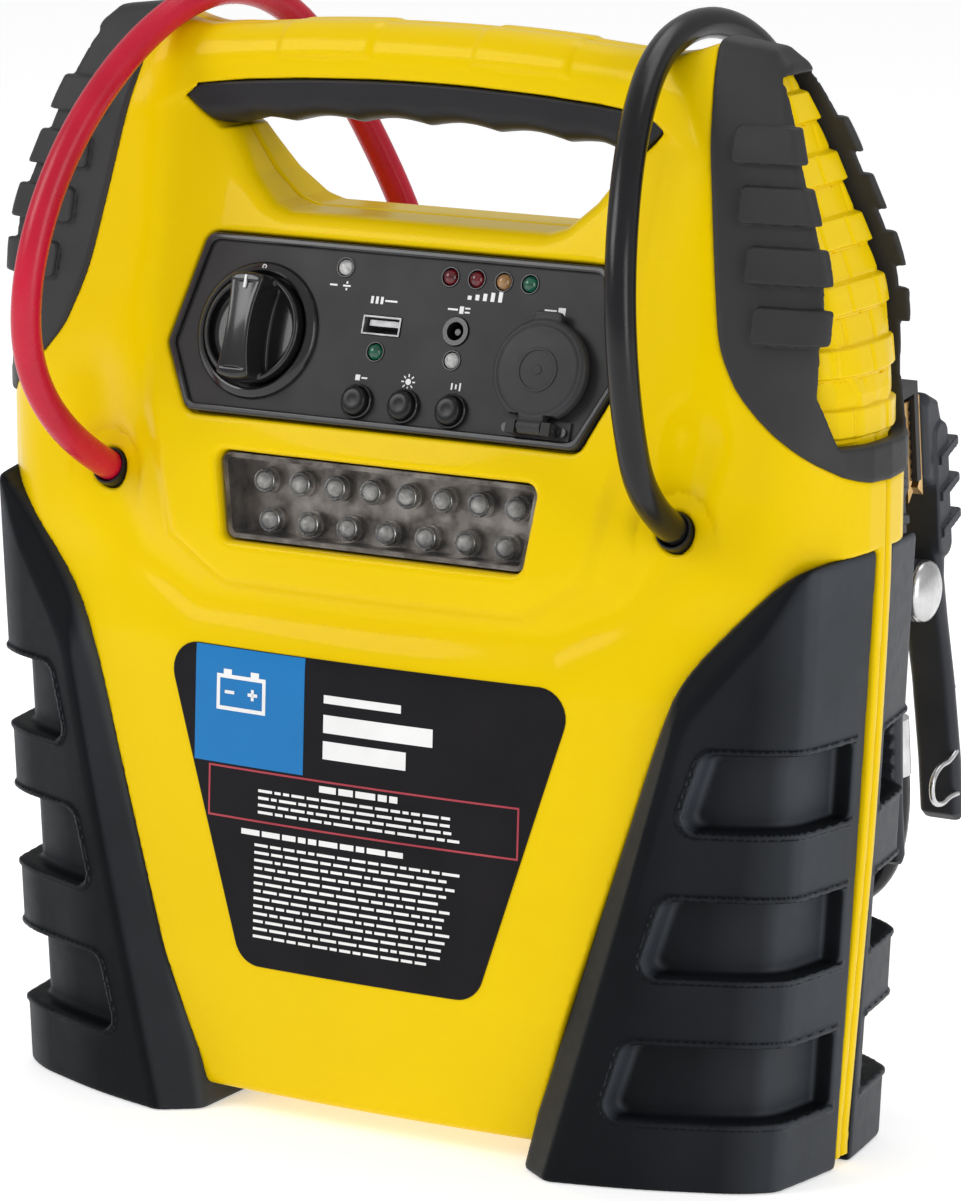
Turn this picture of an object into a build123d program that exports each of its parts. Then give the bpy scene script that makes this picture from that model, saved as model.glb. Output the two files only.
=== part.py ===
from build123d import *
import os
from math import atan2, degrees, hypot, radians, sin, cos, tan

# ---------------------------------------------------------------------------
# Portable 12 V jump starter pack. Millimetres. X right, front face towards -Y,
# Z up. Origin at the middle of the footprint, on the surface it stands on.
# The case is two mirrored shells that meet at y = 0.
# ---------------------------------------------------------------------------

# Case
case_half_width = 150.5        # at the widest height
case_height = 333.5            # top of the shoulders
underside = 7.0                # ground clearance of the shells
front_depth = 53.1             # front face at its deepest, from the parting plane
crown_radius = 850.0           # the front face curves back to the sides on this radius
wall = 3.0
flange_half = 4.0              # half width of the yellow strip between the guards
strip_foot = 2.5               # the strip stops this far above the floor
window_sill = 275.4            # bottom of the hand opening
window_half_sill = 45.0
window_half_top = 72.0

# Guards
lower_guard_depth = 2.0        # how far the shells stand back under the corner guards, front and rear
lower_guard_side = 8.5         # and at the sides
upper_guard_depth = 5.0
upper_guard_proud = 1.2
rib_proud = 1.6
rib_height = 10.0
rib_pitch = 16.7
rib_length = 24.0
first_rib_z = 306.5
guard_edge = 136.0             # half width of the guards at the floor
ridge_depth = 58.5             # depth of the guard ridge at the floor
pocket_depth = 5.5
pocket_height = 22.5
pocket_pitch = 44.0
first_pocket_z = 22.0

# Handle
handle_width = 28.0
handle_height = 33.0
handle_top = 332.8
handle_arch = 700.0
grip_line = 16.5               # height of the soft grip in the handle section
grip_proud = 0.6

# Control panel, a flat plate on a leaning plane
panel_bottom = (39.3, 216.1)   # depth and height of its lower edge
panel_top = (21.9, 268.0)
panel_thickness = 4.0
panel_gap = 0.15
rim_width = 2.2
rim_height = 1.2

# Rotary switch
switch_x, switch_s = -47.0, 26.0
bezel_diameter = 42.0
bezel_height = 2.4
knob_diameter = 33.0
knob_height = 13.0
knob_bar_width = 9.0
switch_shaft = 8.0
running_gap = 0.05

# Buttons, lamps and sockets in the panel
button_x = (-8.2, 7.9, 24.3)
button_names = ("usb_button", "lamp_button", "test_button")
button_s = 7.8
button_diameter = 8.4
collar_diameter = 10.6
button_travel = 1.0
button_clearance = 0.15
led_diameter = 5.0
usb_x, usb_s = -4.3, 31.0
usb_width, usb_height = 13.1, 5.7
usb_depth = 14.0
jack_x, jack_s = 21.3, 31.5
jack_bore = 5.6
jack_body = 8.5
jack_depth = 12.0
outlet_x, outlet_s = 53.5, 22.0
outlet_bore = 21.2
outlet_body = 25.0
outlet_depth = 40.0
cap_diameter = 31.0
cap_thickness = 3.2
cap_gap = 0.4
cap_plug_depth = 3.0
hinge_s = outlet_s - 16.6      # the cap's hinge, below the outlet
hinge_height = 3.4
hinge_pin = 2.0
hinge_arm_x = 5.9              # the lug's two arms
hinge_relief = 3.7
lug_screw_x = 9.4
lug_base = 0.9

# Lamp
lens_top_half, lens_bottom_half = 55.5, 51.4
lens_bottom_z, lens_height = 179.1, 25.8
lens_plane_depth = 43.4
lens_thickness = 2.0
tray_depth = 12.0
lamp_led_diameter = 5.0
lamp_rows = ((17.6, 8, 12.5), (5.9, 7, 13.7))   # height up the lens, count, pitch

# Battery: a 12 V 17 Ah block
battery_length, battery_depth, battery_height = 181.0, 77.0, 167.0
battery_base = 12.2

# Leads
lead_diameter = 9.2
exit_x = 98.4
grommet_diameter = 15.0
grommet_length = 12.0
grommet_flange = 18.0
grommet_nose = 2.5

# Clamps, stored on the back with the jaws up
clamp_x, clamp_y, clamp_z = 122.0, 66.0, 162.0
clamp_tilt = 7.0
clamp_half_thickness = 7.0
rivet_diameter = 8.0
rivet_head = 19.0
ear_radius = 9.6
blade_half = 1.3
jaw_gap = 0.3
crimp_end = -56.0


def polygon(points):
    return make_face(Polyline(*points, close=True))


def moved_in(points, inset):
    """A closed outline with every edge moved inwards by inset, corners kept sharp."""
    area = sum(a[0] * b[1] - b[0] * a[1] for a, b in zip(points, points[1:] + points[:1]))
    turn = 1.0 if area > 0 else -1.0
    result = []
    for before, here, after in zip(points[-1:] + points[:-1], points, points[1:] + points[:1]):
        first = (Vector(*here) - Vector(*before)).normalized()
        second = (Vector(*after) - Vector(*here)).normalized()
        normals = (Vector(-first.Y, first.X) + Vector(-second.Y, second.X)) * turn
        shift = normals * (2 * inset / normals.dot(normals))
        result.append((here[0] + shift.X, here[1] + shift.Y))
    return result


def mirrored(points):
    """The right half of an outline, bottom to top, made symmetric about x = 0."""
    return list(points) + [(-x, z) for x, z in reversed(points)]


def along_y(face, reach=100.0):
    """A sketch in x, z made into a block through the whole depth."""
    return extrude(Plane.XZ * face, amount=reach, both=True)


def block(low, high):
    size = [b - a for a, b in zip(low, high)]
    return Pos(*low) * Box(*size, align=(Align.MIN, Align.MIN, Align.MIN))


def flip_y(shape):
    return mirror(shape, about=Plane.XZ)


def flip_x(shape):
    return mirror(shape, about=Plane.YZ)


def rod(diameter, length, low=0.0):
    """A cylinder on local Z from low upward."""
    return Pos(0, 0, low) * Cylinder(diameter / 2, length, align=(Align.CENTER, Align.CENTER, Align.MIN))


# --- the case envelope -----------------------------------------------------

def case_outline(inset, shoulders=True):
    """The case seen from the front: whole, or only its lower part, open below."""
    w, h = case_half_width, case_height
    right = [(w - 13.0, underside if shoulders else -30.0), (w - 5.7, 98.0), (w, 181.0), (w + 0.5, 212.0), (w - 1.0, 236.0)]
    if shoulders:
        right += [(w - 9.0, 265.0), (w - 22.5, 300.0), (w - 32.5, h - 6.0), (w - 37.0, h - 2.0),
                  (w - 54.0, h), (w - 64.0, h - 6.0), (w - 70.0, h - 10.0)]
    return polygon(moved_in(mirrored(right), inset))


def case_section(inset):
    d, h = front_depth, case_height
    front = [
        (-d + 5.1, underside), (-d, 49.0), (-d + 4.8, 146.0), (-d + 8.5, 179.0), (-d + 10.6, 205.0),
        (-d + 12.3, 232.0), (-d + 13.6, 247.0), (-d + 17.1, 259.0), (-d + 27.7, 306.0),
        (-d + 37.0, h - 8.0), (-d + 43.1, h),
    ]
    return polygon(moved_in(front + [(60.0, h), (60.0, underside)], inset))


def case_plan(inset):
    w, d = case_half_width, front_depth
    right = [(w + 0.5, 0.0), (w - 1.0, -10.0), (w - 6.0, -19.5), (w - 15.0, -30.0),
             (w - 28.5, -45.0), (w - 52.0, -d), (w - 85.0, -d - 3.0), (0.0, -d - 8.0)]
    ring = right + [(-x, y) for x, y in reversed(right[:-1])]
    ring += [(-x, -y) for x, y in right[1:]] + [(x, -y) for x, y in reversed(right[1:-1])]
    return polygon(moved_in(ring, inset))


def envelope(inset=0.0):
    """The outside of the case, moved inwards by inset."""
    body = front_and_back(inset) & along_y(case_outline(inset))
    return body & extrude(case_plan(inset), amount=case_height + 20)


def front_and_back(inset):
    """The curved front and rear faces, with nothing trimmed at the sides."""
    axis = Axis((0, crown_radius, 0), (0, 0, 1))
    front = revolve(Plane.YZ * case_section(inset), axis=axis, revolution_arc=24).rotate(axis, -12)
    return front & flip_y(front)


def guarded_core(extra=0.0):
    """The surface that the corner guards sit on, moved inwards by extra."""
    side = lower_guard_side + extra
    body = front_and_back(lower_guard_depth + extra) & along_y(case_outline(side, shoulders=False))
    return body & extrude(case_plan(side), amount=case_height)


# --- the handle ------------------------------------------------------------

def handle_bar(low, high, grow=0.0):
    """Part of the arched handle between two heights of its section."""
    middle = handle_top - handle_height / 2
    section = RectangleRounded(handle_width + 2 * grow, handle_height + 2 * grow, handle_width * 0.38 + grow)
    section = Pos(0, middle) * section
    strip = Pos(0, handle_top - handle_height + (low + high) / 2) * Rectangle(2 * handle_width, high - low)
    axis = Axis((0, 0, handle_top - handle_arch), (0, 1, 0))
    return revolve(Plane.YZ * (section & strip), axis=axis, revolution_arc=13.4).rotate(axis, -6.7)


def handle_grip():
    grip = handle_bar(-2.0, grip_line, grip_proud)
    for x in (-48.0, -16.0, 16.0, 48.0):
        groove = Pos(x, 0, handle_top - handle_height - 18.6) * Rot(90, 0, 0) * Cylinder(20.0, 60.0)
        grip -= groove
    return grip


def hand_opening(inset=0.0):
    s, t = window_half_sill + inset, window_half_top + inset
    right = [(s, window_sill - inset), (s + 6.0, window_sill + 2.0 - inset), (s + 14.5, window_sill + 9.6 - inset),
             (t, window_sill + 27.0), (t, case_height + 20)]
    return along_y(polygon(mirrored(right)))


def sill_cut(drop=0.0):
    """Rounds the body off in front of and behind the hand opening, down to the panel's plane."""
    side = [(-60, panel_top[1] - drop), (-panel_top[0] + drop, panel_top[1] - drop),
            (-15.0, window_sill - 1.4 - drop), (0.0, window_sill - drop), (0, 400), (-60, 400)]
    cut = extrude(Plane.YZ * polygon(side), amount=window_half_top, both=True)
    return cut + flip_y(cut)


# --- the panel's plane and what sits in it ---------------------------------

panel_lean = degrees(atan2(panel_bottom[0] - panel_top[0], panel_top[1] - panel_bottom[1]))
panel_length = hypot(panel_bottom[0] - panel_top[0], panel_top[1] - panel_bottom[1])
panel_plane = Plane(
    origin=(0, -panel_bottom[0], panel_bottom[1]), x_dir=(1, 0, 0),
    z_dir=(0, -cos(radians(panel_lean)), sin(radians(panel_lean))),
)


def on_panel(shape, x=0.0, s=0.0):
    """Moves a shape drawn around local zero to a place on the panel; local Z points out of it."""
    return panel_plane.location * Pos(x, s, 0) * shape


def panel_outline(grow=0.0):
    half = mirrored([(67.7, 0.0), (77.7, 20.0), (69.5, panel_length)])
    face = fillet(polygon(half).vertices(), 4.0)
    return offset(face, amount=grow) if grow else face


def panel_recess():
    """Flattens the case in front of the panel's plane."""
    outline = mirrored([(70.0, -6.0), (82.0, 14.0), (86.0, panel_length + 60.0)])
    return on_panel(extrude(polygon(outline), amount=60))


def control_panel():
    plate = extrude(panel_outline(-panel_gap), amount=-panel_thickness)
    rim = extrude(panel_outline(-panel_gap) - panel_outline(-panel_gap - rim_width), amount=rim_height)
    plate += rim
    holes = [Pos(switch_x, switch_s, -10) * rod(bezel_diameter - 6, 20)]
    holes += [Pos(x, button_s, -10) * rod(collar_diameter - 1.6, 20) for x in button_x]
    holes += [Pos(x, s, -10) * rod(led_diameter, 20) for x, s in led_places()]
    holes += [Pos(usb_x, usb_s, 0) * Box(usb_width, usb_height, 30)]
    holes += [Pos(jack_x, jack_s, -10) * rod(jack_body, 20)]
    holes += [Pos(outlet_x, outlet_s, -10) * rod(outlet_body, 20)]
    for hole in holes:
        plate -= hole
    return on_panel(plate)


def led_places():
    return [place for group in led_groups.values() for place in group]


led_groups = {
    "red_volt_leds": [(16.5, 47.5), (25.5, 47.5)],
    "amber_volt_led": [(34.7, 47.5)],
    "green_leds": [(43.6, 47.5), (-5.0, 23.1)],
    "clear_leds": [(-19.9, 47.5), (21.5, 22.8)],
}


def led(diameter, length):
    body = rod(diameter, length, -length)
    return body + (Sphere(diameter / 2) & block((-9, -9, 0), (9, 9, 9)))


def panel_leds(name):
    lights = [on_panel(Pos(0, 0, -0.8) * led(led_diameter - 0.1, 6.0), x, s) for x, s in led_groups[name]]
    return Compound(children=lights)


def switch_bezel():
    ring = rod(bezel_diameter, bezel_height) + rod(bezel_diameter - 6.2, panel_thickness, -panel_thickness)
    ring -= rod(knob_diameter + 2.4, 40, -panel_thickness + 1.0)
    ring -= rod(switch_shaft + 6, 40, -20)
    ring = chamfer(ring.edges().group_by(Axis.Z)[-1].sort_by(SortBy.LENGTH)[-1], 1.2)
    return on_panel(ring, switch_x, switch_s)


def switch_knob():
    low = -panel_thickness + 1.0 + 0.4
    base = rod(knob_diameter, 5.0 - low, low)
    bar = Pos(0, 0, 5.0) * extrude(RectangleRounded(knob_bar_width, knob_diameter - 0.6, 3.5), amount=knob_height - 5.0)
    knob = base + bar
    knob = chamfer(knob.edges().group_by(Axis.Z)[-1], 1.0)
    knob += rod(switch_shaft, 14.0, low - 14.0)
    return on_panel(knob, switch_x, switch_s)


def switch_body():
    top = -panel_thickness
    case = rod(36.0, 26.0, top - 26.0)
    case -= rod(switch_shaft + 2 * running_gap, 16.0, top - 15.0)
    for side in (-1, 1):
        case += Pos(side * 9.0, 0, top - 34.0) * rod(8.0, 8.0)
    return on_panel(case, switch_x, switch_s)


def button(x):
    inside = collar_diameter - 1.6
    cap = rod(button_diameter, 2.6 + 5.0, -5.0)
    cap = fillet(cap.edges().group_by(Axis.Z)[-1], 0.8)
    cap += rod(inside - 3.6, 2.0, -7.0)
    return on_panel(cap, x, button_s)


def button_collars():
    rings = []
    for x in button_x:
        ring = rod(collar_diameter, 1.4) + rod(collar_diameter - 1.6, panel_thickness, -panel_thickness)
        ring -= rod(button_diameter + 2 * button_clearance, 30, -10)
        rings.append(on_panel(ring, x, button_s))
    return Compound(children=rings)


def usb_socket():
    shell = Box(usb_width, usb_height, usb_depth) - Pos(0, 0, 1) * Box(usb_width - 1, usb_height - 1, usb_depth)
    shell = Pos(0, 0, -usb_depth / 2 + 0.4) * shell
    tongue = Pos(0, 0.9, -usb_depth / 2) * Box(usb_width - 3, 1.8, usb_depth - 2.5)
    return on_panel(shell + tongue, usb_x, usb_s)


def charge_jack():
    body = rod(jack_body, jack_depth, -jack_depth + 0.6) - rod(jack_bore, jack_depth - 1.5, -jack_depth + 2.1)
    body += rod(1.9, jack_depth - 3.0, -jack_depth + 2.0)
    return on_panel(body, jack_x, jack_s)


def outlet_barrel():
    rim = 1.0
    body = rod(outlet_body, outlet_depth, -outlet_depth + rim)
    body += rod(outlet_body + 3.0, rim)
    body -= rod(outlet_bore, outlet_depth, -outlet_depth + rim + 2.0)
    return on_panel(body, outlet_x, outlet_s)


def outlet_contact():
    pin = rod(7.0, 1.6, -outlet_depth + 3.0) + rod(4.0, 3.0, -outlet_depth + 3.0)
    return on_panel(pin, outlet_x, outlet_s)


def outlet_cap():
    low = 1.0 + cap_gap
    hinge = Pos(0, hinge_s - outlet_s, hinge_height)
    cap = rod(cap_diameter, cap_thickness, low)
    cap = fillet(cap.edges().group_by(Axis.Z)[-1], 1.0)
    cap += rod(outlet_bore - 2.4, cap_plug_depth + 0.2, low - cap_plug_depth)
    cap += Pos(0, cap_diameter / 2 - 0.5, low + cap_thickness / 2) * Box(9.0, 5.0, cap_thickness * 0.7)
    for side in (-1, 1):
        cap -= hinge * Pos(side * hinge_arm_x, 0, 0) * Rot(0, 90, 0) * Cylinder(hinge_relief, 3.6)
    cap += hinge * block((-4.0, 0, -1.2), (4.0, 8.0, 1.2))
    cap += hinge * Rot(0, 90, 0) * Cylinder(2.2, 8.0)
    cap -= hinge * Rot(0, 90, 0) * Cylinder(hinge_pin / 2 + running_gap, 30)
    return on_panel(cap, outlet_x, outlet_s)


def cap_hinge_lug():
    drop = hinge_s - outlet_s
    lug = block((-lug_screw_x - 2.2, drop - 3.0, 0), (lug_screw_x + 2.2, drop + 2.6, lug_base))
    for side in (-1, 1):
        x = side * hinge_arm_x
        lug += block((x - 1.5, drop - 2.4, 0), (x + 1.5, drop + 1.4, hinge_height + 2.2))
        lug -= Pos(side * lug_screw_x, drop - 0.6, -1) * rod(1.4, 6)
    lug -= Pos(0, drop, hinge_height) * Rot(0, 90, 0) * Cylinder(hinge_pin / 2, 40)
    lug -= Pos(0, 0, -1) * rod(outlet_body + 3.2, 2.6)
    return on_panel(lug, outlet_x, outlet_s)


def cap_hinge_pin():
    pin = Pos(0, hinge_s - outlet_s, hinge_height) * Rot(0, 90, 0) * Cylinder(hinge_pin / 2, 14.8)
    return on_panel(pin, outlet_x, outlet_s)


def cap_lug_screws():
    screws = []
    for side in (-1, 1):
        screw = rod(2.8, 1.0, lug_base) + rod(1.4, lug_base, 0.0)
        screws.append(on_panel(Pos(side * lug_screw_x, hinge_s - outlet_s - 0.6, 0) * screw, outlet_x, outlet_s))
    return Compound(children=screws)


# --- the work lamp ---------------------------------------------------------

lamp_lean = degrees(atan2(3.2, lens_height))
lamp_plane = Plane(
    origin=(0, -lens_plane_depth, lens_bottom_z), x_dir=(1, 0, 0),
    z_dir=(0, -cos(radians(lamp_lean)), sin(radians(lamp_lean))),
)


def lamp_outline(grow=0.0):
    face = polygon([(-lens_bottom_half, 0), (lens_bottom_half, 0), (lens_top_half, lens_height), (-lens_top_half, lens_height)])
    face = fillet(face.vertices(), 3.0)
    return offset(face, amount=grow) if grow else face


def on_lamp(shape):
    return lamp_plane.location * shape


def lamp_spots():
    spots = []
    for height, count, pitch in lamp_rows:
        spots += [((i - (count - 1) / 2) * pitch, height) for i in range(count)]
    return spots


def lamp_lens():
    return on_lamp(extrude(lamp_outline(-0.1), amount=-lens_thickness))


def lamp_tray():
    low = -lens_thickness - tray_depth
    tray = Pos(0, 0, low) * extrude(lamp_outline(-0.1), amount=tray_depth)
    tray -= Pos(0, 0, low + 1.2) * extrude(lamp_outline(-1.6), amount=tray_depth)
    for x, s in lamp_spots():
        tray += Pos(x, s, low) * rod(8.0, 3.4)
        tray -= Pos(x, s, low - 1) * rod(lamp_led_diameter + 0.2, 9.0)
    return on_lamp(tray)


def lamp_leds():
    low = -lens_thickness - tray_depth
    lights = [on_lamp(Pos(x, s, low + 5.6) * led(lamp_led_diameter, 6.4)) for x, s in lamp_spots()]
    return Compound(children=lights)


def lamp_board():
    low = -lens_thickness - tray_depth
    board = Pos(0, 0, low - 2.4) * extrude(lamp_outline(-2.0), amount=1.6)
    return on_lamp(board)


# --- corner guards ---------------------------------------------------------

def lower_guard_mask(grow=0.0):
    """Where the corner guards cover the shells, seen from the front."""
    points = [
        (52.0 - grow, -1.0), (60.2 - grow, 17.5), (63.5 - grow, 27.2), (89.3 - grow, 108.5), (97.4 - grow, 135.1 + grow),
        (105.4 - grow, 153.9 + grow), (119.7 - grow, 170.3 + grow), (135.8 - grow, 186.3 + grow),
        (150.0, 190.0 + grow), (190.0, 190.0 + grow), (190.0, -1.0),
    ]
    return along_y(polygon(points))


def guard_planes():
    """Three points on each flat of the front right corner guard."""
    e, r = guard_edge, ridge_depth
    return [
        ((60.2, -48.7, 17.5), (97.4, -44.6, 135.1), (90.0, -r + 2.3, 70.5)),
        ((105.4, -43.9, 153.9), (135.8, -34.5, 186.3), (118.0, -46.4, 153.0)),
        ((e - 63.5, -r, 0), (e - 40.5, -r + 5.7, 0), (e - 34.9, -r + 6.1, 114.9)),
        ((e - 40.5, -r + 5.7, 0), (e - 13.0, -r + 17.0, 0), (e - 10.0, -r + 17.0, 120.0)),
        ((e - 12.0, -r + 17.2, 0), (e - 2.5, -33.3, 0), (e + 2.5, -33.3, 110.0)),
        ((e - 2.5, -33.3, 0), (e, -20.7, 0), (e + 5.5, -20.7, 110.0)),
        ((e, -20.7, 0), (e + 1.8, -flange_half, 0), (e + 13.2, -flange_half, 181.0)),
    ]


def guard_block(inset=0.0):
    solid = block((35.0, -66.0, 0.0), (165.0, -flange_half, 191.0))
    inside = Vector(100.0, -30.0, 60.0)
    for a, b, c in guard_planes():
        a, b, c = Vector(*a), Vector(*b), Vector(*c)
        normal = (b - a).cross(c - a).normalized()
        if normal.dot(inside - a) > 0:
            normal = normal * -1
        cutter = Plane(origin=a - normal * inset, z_dir=normal)
        solid = split(solid, bisect_by=cutter, keep=Keep.BOTTOM)
    return solid


def ridge_x(z):
    return guard_edge - 62.6 + 0.245 * z


def pocket(index):
    low = first_pocket_z + index * pocket_pitch
    high = low + pocket_height
    corners = [(ridge_x(low) + 9.0, low), (190.0, low), (190.0, high), (ridge_x(high) + 9.0, high)]
    face = polygon(corners)
    face = fillet(face.vertices().group_by(Axis.X)[0] + face.vertices().group_by(Axis.X)[1], 4.0)
    return extrude(Plane.XZ * face, amount=90) & block((0, -90, 0), (190, -flange_half - 4.0, 190))


def lower_guard():
    guard = guard_block() & lower_guard_mask()
    inner = guard_block(pocket_depth)
    for index in range(3):
        guard -= pocket(index) - inner
    return guard - guarded_core()


def upper_guard_mask(grow=0.0):
    points = [
        (94.0 - grow, case_height + 30), (95.1 - grow, case_height), (100.1 - grow, 306.4), (107.6 - grow, 259.3),
        (110.9 - grow, 247.1), (118.9 - grow, 232.3 - grow), (144.5 - grow, 211.8 - grow), (170.0, 208.0 - grow),
        (190.0, 208.0 - grow), (190.0, case_height + 30),
    ]
    return along_y(polygon(points))


def side_opening(grow=0.0):
    """The outline of the textured side panel, seen from the side."""
    front = [(-18.0, 223.0), (-21.0, 236.0), (-20.0, 250.0), (-17.0, 268.0), (-10.5, 302.0), (-4.0, 322.0)]
    face = polygon(front + [(-y, z) for y, z in reversed(front)])
    face = fillet(face.vertices(), 2.0)
    if grow:
        face = offset(face, amount=grow)
    return extrude(Plane.YZ.offset(95.0) * face, amount=100)


def upper_guard(shells_inside):
    guard = envelope(-upper_guard_proud)
    ribbed = envelope(-upper_guard_proud - rib_proud)
    for index in range(4):
        z = first_rib_z - index * rib_pitch
        outer = 127.0 + index * 4.0
        band = [(outer - rib_length, z - rib_height / 2), (outer + 14, z - rib_height / 2 - 3.0),
                (outer + 14, z + rib_height / 2 - 3.0), (outer - rib_length, z + rib_height / 2)]
        guard += ribbed & along_y(polygon(band))
    guard = guard & upper_guard_mask() & block((80, -70, 200), (170, 70, 345))
    return guard - shells_inside - side_opening()


def side_panel(shells_inside):
    panel = (envelope(1.0) & side_opening(-0.1)) - shells_inside
    for row in range(6):
        low = 227.0 + row * 17.6
        band = block((90, -40, low), (170, 40, low + 8.5))
        panel += (envelope(-0.4) & side_opening(-0.1) & band) - shells_inside
    return panel


# --- shells ----------------------------------------------------------------

def case_outside():
    body = envelope()
    body -= hand_opening()
    body -= sill_cut()
    body -= panel_recess()
    body -= flip_y(panel_recess())
    return body


def case_cavity():
    """The room inside the two shells, a wall's thickness in everywhere."""
    inside = envelope(wall)
    inside -= hand_opening(wall)
    inside -= sill_cut(wall)
    inside -= Pos(0, wall, 0) * panel_recess()
    inside -= flip_y(Pos(0, wall, 0) * panel_recess())
    for side in (1, -1):
        lower = lower_guard_mask(wall) - guarded_core(wall)
        upper = upper_guard_mask(wall) - envelope(upper_guard_depth + wall)
        zone = lower + upper
        inside -= zone if side > 0 else flip_x(zone)
    return inside


def guard_seats():
    """What the corner guards and the shoulder guards take away from the shells."""
    lower = lower_guard_mask() - guarded_core()
    lower -= block((0, -flange_half, -10), (200, flange_half, 200))
    upper = upper_guard_mask() - envelope(upper_guard_depth)
    seats = lower + upper
    return seats + flip_x(seats)


def screw_places():
    return [(-112.0, 30.0), (112.0, 30.0), (-118.0, 160.0), (118.0, 160.0), (-96.0, 250.0), (96.0, 250.0)]


def shells():
    outside = case_outside() - guard_seats()
    body = outside - case_cavity()
    body += handle_bar(grip_line, handle_height + 1.0)
    for x, z in screw_places():
        boss = Pos(x, 0, z) * Rot(90, 0, 0) * Cylinder(5.0, 120)
        body += boss & outside
    for side in (-1, 1):
        foot = side * (case_half_width - 21.0)
        body += block((foot - 8.0, -flange_half, strip_foot), (foot + 8.0, flange_half, underside + 2.0))
    body -= handle_grip()
    front = body & block((-200, -100, -10), (200, 0, 400))
    rear = body & block((-200, 0, -10), (200, 100, 400))
    for x, z in screw_places():
        hole = Pos(x, 0, z) * Rot(90, 0, 0)
        rear -= hole * Cylinder(2.2, 200)
        rear -= Pos(0, 112.0, 0) * hole * Cylinder(4.2, 200)
        front -= Pos(0, -7.0, 0) * hole * Cylinder(1.6, 14)
    front -= on_panel(extrude(panel_outline(0.0), amount=40, both=True) & block((-90, -10, -9), (90, 70, 60)))
    front -= on_lamp(extrude(lamp_outline(0.1), amount=20, both=True))
    for side in (-1, 1):
        front -= lead_axis(side) * rod(grommet_diameter, 60, -30)
        front -= lead_axis(side) * rod(grommet_flange + 0.4, 20, 0)
    return front, rear


def case_screws():
    screws = []
    for x, z in screw_places():
        shank = Pos(x, 0, z) * Rot(90, 0, 0)
        screws.append(shank * Cylinder(1.6, 24) + Pos(0, 13.5, 0) * shank * Cylinder(3.6, 3.0))
    return Compound(children=screws)


def label_plate():
    outline = [(-41.4, 49.4), (41.4, 49.4), (71.8, 146.4), (-71.8, 146.4)]
    face = fillet(polygon(outline).vertices(), 9.0)
    prism = extrude(Plane.XZ * face, amount=90)
    return (envelope(-0.5) - envelope()) & prism


# --- leads -----------------------------------------------------------------

def lead_axis(side):
    """Local Z points out of the case along the lead's first run."""
    return Plane(origin=(side * exit_x, -38.0, 196.1), x_dir=(1, 0, 0), z_dir=(0, -0.912, 0.41)).location


def lead_grommets():
    rings = []
    for side in (-1, 1):
        ring = rod(grommet_diameter, grommet_length, -grommet_length + 1.0)
        cone = Cone(grommet_flange / 2, lead_diameter / 2 + 1.6, grommet_nose, align=(Align.CENTER, Align.CENTER, Align.MIN))
        ring += Pos(0, 0, 1.0) * cone
        ring -= rod(lead_diameter, 60, -30)
        rings.append(lead_axis(side) * ring)
    return Compound(children=rings)


black_route = [
    (98.4, -27.97, 191.59), (98.4, -53.5, 203.07), (100.0, -68.5, 236.0), (98.0, -69.0, 274.0),
    (89.5, -47.0, 311.0), (82.0, -16.0, 334.0), (83.0, 19.0, 338.5), (86.0, 51.0, 321.0),
    (85.0, 66.0, 284.0), (79.0, 67.0, 235.0), (70.0, 69.0, 181.0), (62.0, 71.5, 128.0),
    (58.0, 72.0, 79.5), (76.7, 70.5, 60.5), (103.3, 67.5, 60.2), (122.0, 65.7, 79.0), (122.0, 62.5, 105.1),
]
red_route = [
    (-98.4, -27.97, 191.59), (-98.4, -53.5, 203.07), (-103.5, -72.0, 229.0), (-101.0, -74.5, 262.0),
    (-97.5, -58.0, 297.0), (-91.0, -28.0, 326.5), (-82.5, 5.0, 341.0), (-76.0, 38.0, 330.0),
    (-66.0, 57.0, 298.0), (-50.0, 63.0, 262.0), (-36.0, 66.0, 216.0), (-31.0, 69.0, 172.0),
    (-34.0, 71.0, 134.0), (-43.0, 72.0, 104.0), (-56.0, 72.0, 78.0), (-77.0, 70.5, 60.5),
    (-103.3, 67.5, 60.2), (-122.0, 65.7, 79.0), (-122.0, 62.5, 105.1),
]


def lead(name, route, diameter):
    """A tube along straight runs joined by arcs; prints its radii, length and volume."""
    points = [Vector(*p) for p in route]
    radii = []
    for a, b, c in zip(points, points[1:], points[2:]):
        turn = (b - a).get_angle(c - b)
        shorter = min((b - a).length, (c - b).length)
        radii.append(0.45 * shorter / tan(radians(turn / 2)))
    path = FilletPolyline(*points, radius=radii)
    start = Plane(origin=points[0], z_dir=points[1] - points[0])
    tube = sweep(start * Circle(diameter / 2), path=path)
    print(name, "radii", [round(r, 1) for r in radii], "length", round(path.length, 1),
          "volume ratio", round(tube.volume / (3.14159265 * (diameter / 2) ** 2 * path.length), 4))
    return tube


# --- clamps and their holders ----------------------------------------------

def clamp_frame(side):
    """Local X is the rivet, local Y runs to the rear, local Z runs to the jaw tips."""
    t = radians(clamp_tilt)
    return Plane(origin=(side * clamp_x, clamp_y, clamp_z), x_dir=(1, 0, 0), z_dir=(0, -sin(t), cos(t))).location


def arm_profile():
    """The front arm seen along the rivet: jaw above, handle below."""
    return polygon([
        (-5.2, 57.0), (-9.0, 60.0), (-16.0, 56.0), (-19.0, 45.0), (-19.5, 30.0), (-17.5, 12.0), (-16.0, 0.0),
        (-17.5, -14.0), (-20.5, -34.0), (-23.0, -62.0), (-22.6, -80.0), (-20.5, -82.0), (-17.6, -79.0),
        (-17.4, -62.0), (-15.2, -34.0), (-12.0, -14.0), (-10.4, -6.0), (-10.4, 10.0), (-12.5, 22.0), (-10.0, 30.0),
        (-5.2, 34.0),
    ])


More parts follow.
